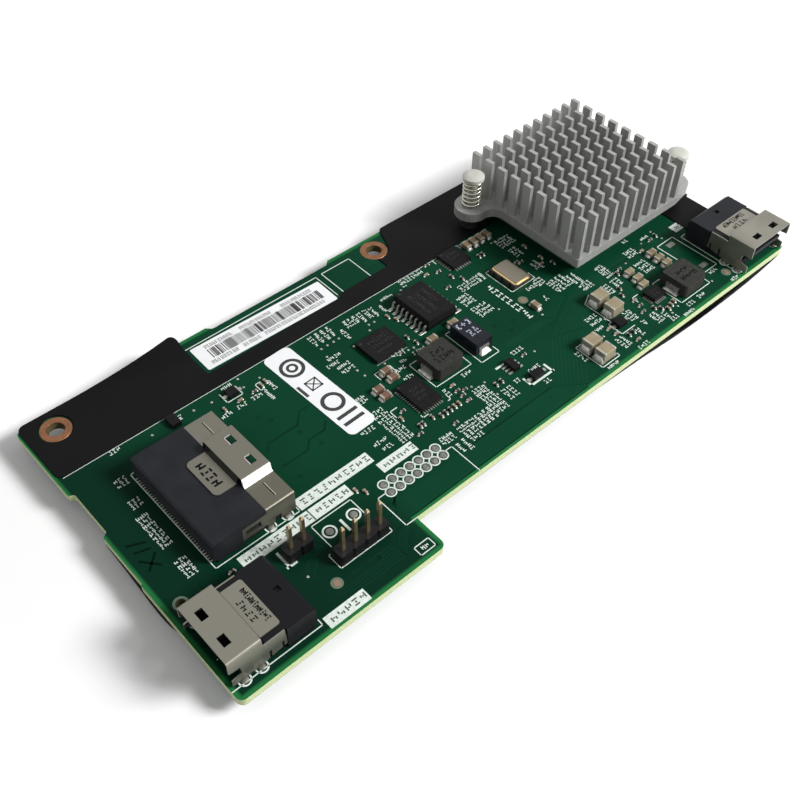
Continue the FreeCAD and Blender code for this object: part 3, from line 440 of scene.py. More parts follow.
# ------------------------------------------------------- white printed lines
# Component outlines and corner marks, screen-printed in thin white ink.
ink = Finish("white board ink", ink_white, 0.6)
ink.mottle(1800.0, 0.3, 0.6, (0.58, 0.66, 0.60), ink_white)
ink.grain(2500.0, 0.2, 0.00001)
line_w = 0.18
thick_line_w = 0.45
film_line_w = 0.11
outlines = [
    [(30.2, -61.6), (33.3, -61.6), (33.3, -59.8), (30.2, -59.8), (30.2, -61.6)],
    [(-6.0, -60.7), (10.6, -60.8), (10.6, -59.7)],
    [(128.0, -39.4), (125.7, -39.4), (125.3, -54.5)],
    [(5.2, -17.2), (4.35, -17.2), (4.35, -42.0), (21.1, -42.0), (21.1, -39.0)],
    [(20.5, -50.8), (20.5, -45.7), (28.8, -45.7), (28.8, -50.2)],
    [(19.4, -51.8), (19.1, -51.8), (19.1, -55.0), (29.9, -55.0), (29.9, -52.4)],
    [(34.0, -48.6), (32.3, -48.6), (32.3, -55.7), (34.8, -55.7)],
    [(47.6, -48.6), (49.35, -48.6), (49.35, -55.5)],
    [(57.0, -29.3), (59.0, -29.3)], [(57.0, -29.3), (57.0, -36.7), (66.0, -36.7), (66.0, -34.4)],
    [(109.3, -45.0), (109.3, -52.3), (118.5, -52.3), (118.5, -51.0)],
    [(109.3, -44.9), (111.5, -44.9)],
    [(69.0, -27.8), (67.7, -27.8), (67.7, -37.8), (72.3, -37.8), (72.3, -36.2)],
    [(87.2, -20.3), (86.2, -20.3), (86.2, -27.9), (92.8, -27.9), (92.8, -26.0)],
    [(88.5, -46.8), (83.8, -46.8), (83.8, -53.6), (88.7, -53.6), (88.7, -52.9)],
    [(97.0, -38.6), (94.4, -39.9), (94.4, -46.6)],
    [(93.5, -46.7), (93.5, -50.2), (97.2, -50.2)], [(93.5, -46.7), (96.6, -46.7)],
    [(60.9, 1.4), (68.1, 1.4), (68.1, -5.8), (60.9, -5.8), (60.9, 1.4)],
    [(28.0, 1.3), (59.4, 1.3), (59.4, -6.2)],
    [(119.2, -43.4), (119.2, -38.2), (124.3, -38.2), (124.3, -49.7), (120.2, -49.7)],
    [(-4.6, -55.0), (-4.55, -55.0)],
    [(26.2, -12.1), (26.2, -14.7), (29.6, -14.7), (29.6, -12.2), (28.9, -12.2)],
    [(33.6, -14.4), (32.5, -14.4), (32.5, -16.2), (33.2, -16.2)],
    [(50.6, -27.0), (50.6, -28.6)], [(50.6, -26.8), (54.2, -26.8), (54.2, -29.0)],
    [(48.2, -35.6), (46.6, -35.6), (46.6, -37.6), (47.4, -37.6)],
    [(50.2, -39.9), (50.2, -40.5), (51.4, -40.5)], [(56.4, -40.5), (57.0, -40.5), (57.0, -39.2)],
    [(80.6, -11.6), (80.6, -10.2), (82.0, -10.2)], [(86.6, -10.2), (87.9, -10.2), (87.9, -11.4)],
    [(102.9, -44.9), (104.6, -44.9)], [(102.9, -44.9), (102.9, -46.4)],
]
thick_outlines = [
    [(13.2, -46.2), (13.2, -49.4)], [(12.9, -49.4), (14.5, -49.4)],
    [(66.6, -24.7), (73.6, -24.7)], [(70.5, -45.9), (70.5, -47.9), (76.3, -47.9)],
    [(76.1, -45.9), (76.1, -47.9)], [(68.6, -40.7), (70.4, -40.7)],
    [(24.9, -47.9), (24.9, -50.2)],
]


def route_bars(routes, width):
    """Each route's runs as bars, so that their square ends close the corners."""
    return flat_bars(*runs(routes), width * MM, board_top, board_top + ink_t)


def ring_profile(inner, outer, height, base=board_top):
    """The section of a flat ring: radii in millimetres, height and base in metres."""
    return [(inner * MM, base), (inner * MM, base + height), (outer * MM, base + height),
            (outer * MM, base)]


pad_pitch = 2.0
pad_rows = at(*[(34.93 + pad_pitch * i, y) for i in range(7) for y in (-47.03, -49.0)])
filled_holes = at((22.17, -48.4), (27.27, -48.35))
piece("printed_outlines", join(
    route_bars(outlines, line_w), route_bars(thick_outlines, thick_line_w),
    route_bars([[(-4.5, -10.42), (96.0, -10.42)]], film_line_w),
    turned(pad_rows, ring_profile(0.82, 1.06, ink_t), 28),
    turned(filled_holes, ring_profile(0.98, 1.3, ink_t), 32)), ink, "label")


# Copper tracks that show through the mask as slightly raised, lighter lines, and
# the gaps between copper areas, which show darker. Vias are small dark rings.
track_t = 0.000012
track_w = 0.2
gap_w = 0.34
mask_over_copper = Finish("mask over copper tracks", (0.0056, 0.060, 0.029), 0.34,
                          Specular_IOR_Level=0.04)
over_main = mask_over_copper.mix(mask_over_copper.noise(300.0).ramp(0.35, 0.65),
                                 (0.0040, 0.0485, 0.0225), (0.0048, 0.0545, 0.0260))
# Painted shade: on the tab the tracks are darker too, like the mask round them
tab_tracks_shade = 1.0 - mask_over_copper.x.ramp(*tab_shade_right_fade)
mask_over_copper.set("Base Color", mask_over_copper.mix(tab_tracks_shade, over_main,
                                                        (0.0034, 0.033, 0.0175)))
mask_over_copper.grain(900.0, 0.2, 0.00001)
mask_over_gap = Finish("mask over bare laminate", (0.0026, 0.032, 0.0165), 0.34,
                       Specular_IOR_Level=0.03)
mask_over_gap.mottle(300.0, 0.35, 0.65, (0.0018, 0.022, 0.012), (0.0030, 0.032, 0.017))
mask_over_gap.grain(900.0, 0.2, 0.00001)
bundle = [[(33.4, -51.0 - 0.42 * k), (73.5 + 0.62 * k, -51.0 - 0.42 * k),
           (82.5 + 0.80 * k, -42.0 - 0.24 * k), (94.0 + 0.2 * k, -36.3 - 0.5 * k)]
          for k in range(9)]
fan = [[(74.6, -37.2 - 0.42 * k), (85.2 + 0.5 * k, -37.2 - 0.42 * k),
        (91.6 + 0.5 * k, -34.2 - 0.4 * k)] for k in range(4)]
tab_bundle = [[(15.6 + 0.9 * k, -58.15 - 0.58 * k), (28.5, -58.15 - 0.58 * k),
               (31.3 + 0.55 * k, -55.35 - 0.03 * k), (31.3 + 0.55 * k, -52.6), (35.0, -49.9)]
              for k in range(4)]
tab_singles = [[(19.8, -56.9), (28.4, -56.9), (30.9, -54.4)], [(24.6, -57.5), (28.3, -57.5)],
               [(14.6, -51.8), (16.6, -50.2), (18.0, -50.2)], [(14.8, -53.4), (17.2, -51.4)],
               [(32.0, -43.7), (34.4, -43.7), (35.1, -44.6)]]
rear_routes = [[(69.5, -2.0 - 0.5 * k), (76.0, -2.0 - 0.5 * k)] for k in range(3)]
gaps = [[(24.9, -28.2), (26.0, -27.1), (32.3, -27.1), (34.6, -24.8), (36.4, -24.8)],
        [(24.9, -32.8), (30.1, -32.8), (31.8, -31.1), (35.2, -31.1), (36.6, -29.7)],
        [(33.4, -54.9), (78.0, -54.9)], [(50.2, -50.6), (72.6, -50.6)],
        [(106.0, -36.4), (118.0, -36.4)]]
piece("copper_tracks", flat_bars(
    *runs(bundle + fan + tab_bundle + tab_singles + rear_routes), track_w * MM, board_top,
    board_top + track_t), mask_over_copper, "laminate")
vias = at((29.5, -23.2), (31.6, -28.7), (25.6, -36.3), (22.6, -57.3), (24.9, -57.3),
          (28.2, -21.0), (33.0, -33.0), (80.4, -33.6), (78.2, -35.4), (76.6, -32.4))
gap_starts, gap_ends = runs(gaps)
# Every second run stands a little higher, so that no two tops lie in one plane
gap_top = board_top + track_t * (1.0 + 0.3 * (np.arange(len(gap_starts)) % 2))
piece("copper_gaps", join(
    flat_bars(gap_starts, gap_ends, gap_w * MM, board_top, gap_top[:, None]),
    turned(vias, ring_profile(0.2, 0.42, track_t), 20)), mask_over_gap, "laminate")


# ---------------------------------------------- part references and title bars
# Rows of marks stand where a real card prints its part references. Each mark is
# three short ticks, placed at random. The rows copy no print and spell nothing,
# but seen close up many marks look like letters, such as H, I, N or Z.
row_dice = np.random.default_rng(11)
mark_pitch = 0.78
mark_h = 0.95
tick_w = 0.17
mark_share = 0.74
# The ends of the three ticks of each kind, as shares of a mark's height and pitch
level_rises = [[0.38, 0.38], [-0.13, 0.13], [-0.38, -0.38]]
upright_runs = [[0.1, 0.1], [0.28, 0.44], [0.62, 0.62]]
along_x = [
    (31.1, -60.7, 2), (4.0, -11.0, 3), (27.2, -11.3, 3), (26.7, -16.9, 3), (30.0, -16.9, 3),
    (23.3, -17.0, 3),
    (46.4, -18.4, 4), (45.0, -19.8, 4), (46.4, -21.2, 4), (46.4, -22.6, 4), (64.7, -12.5, 4),
    (70.8, -10.4, 8), (70.8, -11.5, 8), (76.2, -22.3, 4), (76.2, -23.4, 4), (76.2, -24.5, 4),
    (76.2, -26.4, 5), (76.4, -27.6, 5), (76.4, -28.7, 5), (88.7, -29.4, 4), (43.5, -29.5, 3),
    (43.5, -30.5, 3), (39.3, -36.3, 4), (39.3, -39.6, 4), (40.0, -41.3, 3), (54.2, -28.9, 3),
    (56.3, -27.7, 2), (56.1, -25.6, 4), (59.5, -27.6, 4), (53.8, -31.4, 3), (62.5, -37.8, 3),
    (68.6, -45.3, 2), (72.5, -45.2, 4), (72.9, -49.0, 2), (73.4, -39.9, 4), (48.6, -46.3, 4),
    (48.6, -47.3, 4), (53.0, -49.9, 4), (84.4, -54.4, 4), (90.8, -43.2, 4), (90.8, -44.7, 4),
    (90.2, -46.3, 3), (92.9, -54.8, 4), (97.4, -35.8, 4), (97.4, -36.9, 4), (106.8, -54.9, 4),
    (113.0, -53.4, 3), (109.5, -53.5, 3), (110.9, -39.0, 4), (110.9, -40.3, 4),
    (110.9, -41.6, 4), (112.0, -35.2, 4), (112.0, -36.4, 4), (114.8, -32.5, 2),
    (118.4, -34.4, 3), (120.8, -50.5, 3), (122.4, -54.8, 3), (1.3, -17.0, 3), (1.3, -18.1, 3),
    (0.7, -22.3, 3), (0.7, -23.4, 3), (103.8, -54.0, 3)]
along_x += [(43.4, -34.0 - 1.15 * i, 4) for i in range(8)]
along_x += [(0.0, -25.9 - 1.02 * i, 3) for i in range(8)]
along_x += [(0.0, -37.0 - 1.05 * i, 3) for i in range(4)]
along_x += [(61.0, -42.1 - 1.03 * i, 4) for i in range(7)]
along_x += [(103.8, -34.4 - 1.05 * i, 3) for i in range(4)]
along_y = [
    (53.4, -13.7, 4), (55.3, -12.2, 3), (56.4, -12.2, 3), (57.5, -12.2, 3), (58.8, -12.2, 4),
    (60.3, -12.2, 4), (61.6, -12.6, 4), (63.5, -13.4, 3), (71.2, -12.2, 1), (17.8, -11.2, 2),
    (33.1, -16.5, 4), (34.8, -14.8, 4), (57.5, -38.0, 3), (65.6, -45.0, 4), (67.0, -45.0, 4),
    (50.4, -48.8, 3), (51.9, -48.6, 4), (82.9, -47.6, 4), (91.4, -50.3, 4), (92.6, -50.3, 4),
    (89.9, -32.8, 2), (92.0, -28.2, 3), (93.1, -28.2, 3), (98.0, -31.8, 4), (99.2, -31.8, 5),
    (95.2, -18.3, 4), (96.4, -18.3, 4), (96.5, -24.0, 4), (95.4, -24.4, 3), (96.7, -51.0, 3),
    (98.2, -46.4, 4), (99.3, -46.4, 4), (99.3, -50.2, 2), (101.7, -50.2, 4), (102.8, -50.2, 4),
    (104.2, -51.2, 3), (100.7, -38.5, 4), (101.7, -38.5, 4), (103.6, -38.6, 3),
    (104.8, -38.6, 3), (79.2, -19.4, 3)]
along_y += [(x, -11.2, 4) for x in (47.5, 49.0, 50.4, 51.7)]
along_y += [(80.4 + 1.15 * i, -19.4, 3) for i in range(5)]
along_y += [(93.6 + 1.15 * i, -30.5, 5) for i in range(4)]
along_y += [(94.9 + 1.05 * i, -14.4, 4) for i in range(4)]
along_y += [(53.2 + 1.02 * i, -46.2, 4) for i in range(8)]


def reference_marks(rows, down, pitch=mark_pitch, height=mark_h, base=board_top):
    """Marks for rows of (x, y, count). About half of them are a tick along the top,
    one along the foot and a short upright between; the others are two uneven
    uprights with a short level tick between. In narrow rows the ticks of a mark
    come very close or overlap."""
    places = np.array([(x, y - pitch * i) if down else (x + pitch * i, y)
                       for x, y, count in rows for i in range(count)])
    share = row_dice.uniform(0.3, 0.7, (len(places), 3))
    shift = row_dice.uniform(0.0, 1.0, (len(places), 3)) * (mark_share - share)
    run = np.stack([shift, shift + share], -1)
    run[:, 1] = run[:, 1].mean(-1, keepdims=True)
    rise = np.tile(level_rises, (len(places), 1, 1))
    upright = row_dice.random(len(places)) < 0.5
    tall = row_dice.uniform(0.3, 0.8, (upright.sum(), 3))
    slide = row_dice.uniform(-0.4, 0.4, (upright.sum(), 3)) * (0.9 - tall)
    run[upright] = upright_runs
    rise[upright] = np.stack([slide - tall / 2, slide + tall / 2], -1)
    rise[upright, 1] = rise[upright, 1].mean(-1, keepdims=True)
    run, rise = run * pitch, rise * height
    starts = np.zeros((len(places), 3, 2))
    ends = np.zeros_like(starts)
    a, b = (1, 0) if down else (0, 1)
    sign = -1 if down else 1
    starts[..., a] = places[:, None, a] + sign * run[..., 0]
    ends[..., a] = places[:, None, a] + sign * run[..., 1]
    starts[..., b] = places[:, None, b] + rise[..., 0]
    ends[..., b] = places[:, None, b] + rise[..., 1]
    width = tick_w * height / mark_h * MM
    inward = (ends - starts) / np.linalg.norm(ends - starts, axis=-1, keepdims=True)
    inward *= width / MM / 2.5
    starts, ends = starts + inward, ends - inward
    return flat_bars(starts.reshape(-1, 2) * MM, ends.reshape(-1, 2) * MM, width, base,
                     base + ink_t)


piece("reference_marks", join(
    reference_marks(along_x, False), reference_marks(along_y, True),
    reference_marks([(83.7, -23.6, 9)], True, 1.36, 1.5)), ink, "label")

# Solid white bars with dark marks where a real card names its headers and ports
title_bars = [((21.4, -40.9), (37.2, -40.9), 2.5), ((7.8, -43.9), (30.1, -43.9), 2.5),
              ((36.8, -44.1), (44.7, -44.1), 2.3), ((11.2, -61.1), (19.2, -61.1), 2.3),
              ((126.2, -36.75), (129.5, -36.75), 2.2)]
piece("title_bars", flat_bars(
    at(*[(start[0] + wide / 2, start[1]) for start, _, wide in title_bars]),
    at(*[(end[0] - wide / 2, end[1]) for _, end, wide in title_bars]),
    [wide * MM for _, _, wide in title_bars], board_top, board_top + ink_t), ink, "label")
board_mark = Finish("mask showing through print", (0.035, 0.06, 0.045), 0.5)
board_mark.grain(2000.0, 0.2, 0.00001)


def title_ticks(x, y, count, pitch, height):
    """A row of marks on top of a title bar."""
    return reference_marks([(x, y, count)], False, pitch, height, board_top + ink_t)


title_rows = [(22.3, -40.9, 10, 1.5, 1.3), (8.6, -43.9, 9, 1.5, 1.3), (23.1, -43.9, 5, 1.4, 1.3),
              (37.7, -44.1, 5, 1.5, 1.2), (12.1, -61.1, 5, 1.45, 1.3),
              (127.1, -36.75, 2, 1.3, 1.1)]
piece("title_ticks", join(
    *[title_ticks(*row) for row in title_rows],
    flat_bars(at((22.0, -42.8)), at((22.0, -45.0)), 0.25 * MM, board_top + ink_t,
              board_top + 1.5 * ink_t)), board_mark, "laminate")


# ----------------------------------------------------------- solder and pads
# Tinned copper: filled holes and the double row of bare pads stand a little
# proud, and the ends of the chip parts have sloping solder joints.
tin = Finish("tin and solder", (0.44, 0.44, 0.41), 0.42, Metallic=0.7)
tin.mottle(1300.0, 0.35, 0.65, (0.45, 0.45, 0.42), (0.27, 0.27, 0.25), 2.0)
tin.grain(1600.0, 0.5, 0.00004, 2.0)
dull_tin = Finish("dull bare pad", (0.20, 0.20, 0.175), 0.5, Metallic=0.4)
dull_tin.mottle(1300.0, 0.35, 0.65, (0.22, 0.22, 0.19), (0.12, 0.125, 0.105), 2.0)
dull_tin.grain(1600.0, 0.5, 0.00004, 2.0)


def stacked(lows, highs, levels, corner, steps=2):
    """Upright solids on rounded rectangles, one for each pair of corners: at each
    level (inset, height) the rectangle is pulled in by inset, and quads laid
    across the first and last ring close the ends."""
    lows, highs = np.asarray(lows, float)[:, :2], np.asarray(highs, float)[:, :2]
    levels = np.asarray(levels, float)
    if levels.ndim == 2:
        levels = np.repeat(levels[None], len(lows), 0)
    quarter = np.linspace(0, np.pi / 2, steps + 1)
    angle = (np.arange(4)[:, None] * np.pi / 2 + quarter).ravel()
    sign_x = np.repeat([1, -1, -1, 1], steps + 1)
    sign_y = np.repeat([1, 1, -1, -1], steps + 1)
    middle, half = (lows + highs) / 2, (highs - lows) / 2
    reach = half[:, None] - levels[..., :1]
    r = np.minimum(np.maximum(corner - levels[..., 0], 0.00002), reach.min(-1) * 0.98)
    points = np.zeros((*r.shape, len(angle), 3))
    points[..., 0] = (middle[:, None, None, 0] + sign_x * (reach[..., :1] - r[..., None])
                      + r[..., None] * np.cos(angle))
    points[..., 1] = (middle[:, None, None, 1] + sign_y * (reach[..., 1:] - r[..., None])
                      + r[..., None] * np.sin(angle))
    points[..., 2] = levels[..., 1, None]
    rows, ring = r.shape[1], len(angle)
    i, j = np.meshgrid(np.arange(rows - 1), np.arange(ring), indexing="ij")
    wall = np.stack([i * ring + j, i * ring + (j + 1) % ring, (i + 1) * ring + (j + 1) % ring,
                     (i + 1) * ring + j], -1).reshape(-1, 4)
    k = np.arange(ring // 2 - 1)
    top = np.stack([k, k + 1, ring - 2 - k, ring - 1 - k], -1)
    one = np.concatenate([wall, top + (rows - 1) * ring, top[:, ::-1]])
    faces = (np.arange(len(lows))[:, None, None] * rows * ring + one).reshape(-1, 4)
    return points.reshape(-1, 3), faces


def solids_of(node):
    """(lowest corners, highest corners) of a CAD node's separate solids: points
    at one place are joined, and a label spreads along triangles until it settles."""
    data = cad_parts[node].data
    points = np.empty(len(data.vertices) * 3)
    data.vertices.foreach_get("co", points)
    points = points.reshape(-1, 3)
    _, same = np.unique(np.round(points, 7), axis=0, return_inverse=True)
    loops = np.empty(len(data.loops), int)
    data.loops.foreach_get("vertex_index", loops)
    corners = same.ravel()[loops].reshape(-1, 3)
    label = np.arange(same.max() + 1)
    while True:
        lowest = label[corners].min(1)
        before = label.copy()
        for side in range(3):
            np.minimum.at(label, corners[:, side], lowest)
        if (label == before).all():
            break
    which = label[same.ravel()]
    groups = [points[which == one] for one in np.unique(which)]
    return (np.array([g.min(0) for g in groups]), np.array([g.max(0) for g in groups]))


def dome(radius, height, base=board_top, rows=5):
    """A low round cap: height falls off as a quarter circle towards the radius."""
    bend = np.linspace(0, np.pi / 2, rows)
    profile = [(radius * math.cos(a) * MM, base + height * MM * math.sin(a)) for a in bend[:-1]]
    return [(pole, base)] + profile + [(pole, base + height * MM)]


test_points = at(
    (11.9, -12.2), (20.6, -12.2), (24.1, -12.7), (31.0, -11.1), (30.6, -13.5), (34.2, -13.5),
    (47.4, -15.2), (48.9, -15.2), (50.4, -15.2), (51.7, -15.2), (52.5, -18.7), (53.9, -25.9),
    (49.1, -25.8), (46.9, -17.5), (48.9, -23.9), (57.6, -17.4), (58.5, -16.1), (59.8, -16.2),
    (59.6, -26.2), (60.8, -26.4), (61.9, -40.8), (64.5, -41.6), (69.8, -12.8), (80.6, -29.6),
    (85.9, -36.3), (77.3, -42.2), (64.2, -45.2), (14.2, -52.7), (122.2, -34.0), (122.3, -37.0),
    (119.2, -52.3), (100.0, -36.3), (110.2, -37.2), (108.0, -52.3), (105.6, -52.8),
    (117.6, -35.2), (94.2, -45.2), (71.8, -29.0), (93.9, -14.4), (90.3, -48.2))
piece("bare_pads", join(turned(pad_rows, dome(0.66, 0.12), 28),
                        turned(filled_holes, dome(0.72, 0.16), 32)), dull_tin, "tin", smooth=True)
piece("plated_dots", turned(test_points, dome(0.26, 0.08), 16), tin, "tin", smooth=True)

# Sloping joints at both ends of every chip part, on its long axis
joint_reach = 0.32 * MM
joint_share = 0.55
joint_reaches = (1.7, 1.1, 0.7)  # large, medium and small chip parts
caps = [solids_of(n) for n in ("large_chip_capacitors", "medium_chip_capacitors",
                               "small_chip_parts")]


def end_boxes(lows, highs, share, beyond=0.0):
    """The two end boxes of each chip part: a share of its long side, reaching
    beyond it by a little."""
    size = highs - lows
    long_x = size[:, 0] >= size[:, 1]
    ends = []
    for side in (0, 1):
        low, high = lows.copy(), highs.copy()
        for axis, chosen in ((0, long_x), (1, ~long_x)):
            length = size[chosen, axis] * share
            if side == 0:
                high[chosen, axis] = lows[chosen, axis] + length
                low[chosen, axis] -= beyond
            else:
                low[chosen, axis] = highs[chosen, axis] - length
                high[chosen, axis] += beyond
        ends.append((low, high))
    return np.concatenate([e[0] for e in ends]), np.concatenate([e[1] for e in ends])


joints = []
for (lows, highs), reach in zip(caps, joint_reaches):
    low, high = end_boxes(lows, highs, 0.22, joint_reach * reach)
    tall = (high[:, 2] - low[:, 2]) * joint_share
    zero = np.zeros(len(low))
    slope = np.stack([
        np.stack([zero - 0.05 * MM, zero + board_top], -1),
        np.stack([zero, board_top + tall * 0.25], -1),
        np.stack([zero + joint_reach * reach * 0.45, board_top + tall * 0.6], -1),
        np.stack([zero + joint_reach * reach * 0.8, board_top + tall], -1)], 1)
    joints.append(stacked(low, high, slope, 0.15 * MM, 1))
piece("chip_part_joints", join(*joints), tin, "tin", smooth=True)


# ------------------------------------------------------ chip capacitors
# Fired ceramic blocks with plated ends, soldered flat to the board. The medium
# ones at the front left are of a redder batch.
cap_brown = Finish("capacitor ceramic", (0.22, 0.14, 0.085), 0.5)
tone = cap_brown.noise(160.0, 1.0).ramp(0.35, 0.65)
olive = cap_brown.mix(tone, (0.155, 0.115, 0.062), (0.25, 0.20, 0.12))
red_right, red_rear = 0.058, -0.024
red_batch = (cap_brown.x < red_right) * (cap_brown.y < red_rear)
cap_brown.set("Base Color", cap_brown.mix(red_batch, olive, (0.135, 0.070, 0.042)))
cap_brown.grain(2200.0, 0.3, 0.00002)
cap_tan = Finish("large capacitor ceramic", (0.40, 0.32, 0.20), 0.48)
cap_tan.mottle(500.0, 0.3, 0.7, (0.30, 0.25, 0.155), (0.24, 0.20, 0.125))
cap_tan.grain(2200.0, 0.3, 0.00002)
resistor_black = Finish("chip resistor glaze", (0.03, 0.03, 0.032), 0.4)
resistor_black.set("Base Color", resistor_black.mix(
    resistor_black.noise(230.0, 0.0) > 0.52, (0.025, 0.025, 0.028), (0.24, 0.17, 0.11)))
resistor_black.grain(2200.0, 0.2, 0.00001)


def chip_shapes(lows, highs, share, proud):
    """The ceramic middle and the plated ends of chip parts that fill these boxes."""
    height = highs[:, 2] - lows[:, 2]
    soft = 0.09 * np.minimum(height, 0.0011)

    def levels(top):
        zero = np.zeros(len(lows))
        return np.stack([np.stack([zero + soft, board_top + zero + 0.01 * MM], -1),
                         np.stack([zero, board_top + soft], -1),
                         np.stack([zero, board_top + top - soft], -1),
                         np.stack([zero + soft * 0.4, board_top + top - soft * 0.3], -1),
                         np.stack([zero + soft * 1.3, board_top + top], -1)], 1)

    body = stacked(lows + proud * 0.5, highs - proud * 0.5, levels(height - proud), 0.1 * MM, 1)
    low, high = end_boxes(lows, highs, share)
    both = levels(height)
    ends = stacked(low, high, np.concatenate([both, both]), 0.12 * MM, 1)
    return body, ends


shapes = [chip_shapes(*caps[0], 0.17, 0.05 * MM), chip_shapes(*caps[1], 0.2, 0.04 * MM),
          chip_shapes(*caps[2], 0.27, 0.03 * MM)]
piece("large_capacitor_blocks", shapes[0][0], cap_tan, "capacitor_ceramic",
      stands_for=["large_chip_capacitors"])
piece("medium_capacitor_blocks", shapes[1][0], cap_brown, "capacitor_ceramic",
      stands_for=["medium_chip_capacitors"])
piece("small_chip_blocks", shapes[2][0], resistor_black, "capacitor_ceramic",
      stands_for=["small_chip_parts"])
plated_end = Finish("plated chip end", (0.44, 0.42, 0.36), 0.48, Metallic=0.5)
plated_end.grain(1800.0, 0.5, 0.00003)
plated_end.mottle(900.0, 0.35, 0.65, (0.46, 0.43, 0.36), (0.30, 0.275, 0.225))
piece("chip_part_ends", join(*[s[1] for s in shapes]), plated_end, "capacitor_ceramic")


# -------------------------------------------------------- insulating films
# Black polyester sheets, die-cut: one on top round the holes, curled up at its
# free corner, and one below the board between the push pins.
film = Finish("black insulating film", (0.008, 0.008, 0.009), 0.42, Specular_IOR_Level=0.06)
film.mottle(60.0, 0.3, 0.7, (0.004, 0.004, 0.0045), (0.0065, 0.0065, 0.007))
film.set("Roughness", 0.34 + 0.2 * film.noise(35.0, 3.0))
film.bump(film.noise(2600.0, 3.0) + 6.0 * film.noise(45.0, 1.0), 0.35, 0.00004)
dress("top_insulator", film)
dress("underside_insulator", film)


def thin_sheet(face, thickness):
    """A closed sheet below a grid of points that lie row by row on its upper face."""
    points = np.concatenate([face, face - (0, 0, thickness)]).reshape(-1, 3)
    upper, under = np.arange(len(points)).reshape(2, *face.shape[:2])
    quads = [np.stack([upper[:-1, :-1], upper[:-1, 1:], upper[1:, 1:], upper[1:, :-1]], -1),
             np.stack([under[:-1, :-1], under[1:, :-1], under[1:, 1:], under[:-1, 1:]], -1)]
    for rim_up, rim_low in ((upper[0], under[0]), (upper[:, -1], under[:, -1]),
                            (upper[-1, ::-1], under[-1, ::-1]),
                            (upper[::-1, 0], under[::-1, 0])):
        quads.append(np.stack([rim_up[:-1], rim_low[:-1], rim_low[1:], rim_up[1:]], -1))
    return points, np.concatenate([q.reshape(-1, 4) for q in quads])


def even_grid(along, across):
    """Two grids of even steps from 0 to 1: along a sheet and across it."""
    return np.meshgrid(np.linspace(0, 1, along), np.linspace(0, 1, across), indexing="ij")


# The film under the board droops a little along the left edge, and its buckle
# at the front right reaches out past the board's edge as a narrow lip.
board_under = board_low.z
flap_x, flap_y, flap_length = -4.9, -25.5, 21.5
flap_t, lip_t = 0.2 * MM, 0.22 * MM
flap_s, flap_v = even_grid(33, 9)
flap_out = 0.3 * np.sin(math.pi * flap_s) + 0.9 * np.sin(math.pi * flap_s ** 2.4)
piece("film_flap", thin_sheet(np.stack([
    (flap_x - (0.95 + 0.16 * flap_out) * flap_v) * MM, (flap_y - flap_length * flap_s) * MM,
    board_under - (0.02 + 1.8 * flap_out * flap_v ** 2) * MM], -1), flap_t),
      film, "film", smooth=True)
buckle_low, buckle_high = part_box("underside_insulator")
bend_left, bend_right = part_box("heatsink")[0].x, buckle_high.x - 1.0 * MM
lip_s, lip_v = even_grid(49, 7)
lip_left, lip_right = bend_left - 13.0 * MM, buckle_high.x + 2.0 * MM
lip_x = lip_left + (lip_right - lip_left) * lip_s
along_bend = np.clip((lip_x - bend_left) / (bend_right - bend_left), 0, 1)
lip_bow = (1 - np.cos(2 * math.pi * along_bend)) / 2
lip_arch = np.sin(math.pi * lip_s ** 1.6)
lip_reach = 0.50 * MM * lip_arch ** 0.6 * (1.0 - 0.6 * lip_bow)
lip_drop = ((board_under - buckle_low.z - 0.3 * MM) * lip_bow
            + 1.0 * MM * lip_arch ** 0.8 * (1.0 - lip_bow) * lip_v)
piece("film_lip", thin_sheet(np.stack([
    lip_x, buckle_low.y + 0.05 * MM - lip_reach * lip_v,
    board_under - 0.02 * MM - lip_drop], -1), lip_t),
      film, "film", smooth=True)


# ------------------------------------------------- heatsink, pins and springs
# Extruded aluminium with the fins cut across by gang saws: sawn faces carry
# fine vertical marks. Nylon push pins hold it down against steel springs.
aluminium = Finish("sawn aluminium", (0.42, 0.42, 0.41), 0.5, Metallic=0.35)
saw = aluminium.noise(1.0, 3.0, (2600.0, 2600.0, 90.0))
worn = aluminium.noise(420.0, 4.0)
aluminium.set("Base Color", aluminium.mix(saw.ramp(0.3, 0.7), (0.40, 0.402, 0.39),
                                          (0.325, 0.327, 0.315)))
aluminium.set("Roughness", 0.42 + 0.16 * worn)
aluminium.bump(saw + worn, 0.35, 0.00003)
dress("heatsink", aluminium)

nylon = Finish("natural nylon", (0.74, 0.74, 0.69), 0.38, Subsurface_Weight=0.15)
nylon.shader.inputs["Subsurface Radius"].default_value = (0.002, 0.0018, 0.0014)
nylon.grain(1200.0, 0.15, 0.00002)
nylon.mottle(220.0, 0.3, 0.7, (0.54, 0.54, 0.485), (0.47, 0.47, 0.42))
dress("push_pins", nylon)
spring_wire = Finish("spring wire", (0.42, 0.40, 0.34), 0.22, Metallic=1.0)
spring_wire.set("Roughness", 0.18 + 0.14 * spring_wire.noise(900.0))
spring_wire.grain(2400.0, 0.2, 0.00001)
dress("push_pin_springs", spring_wire)

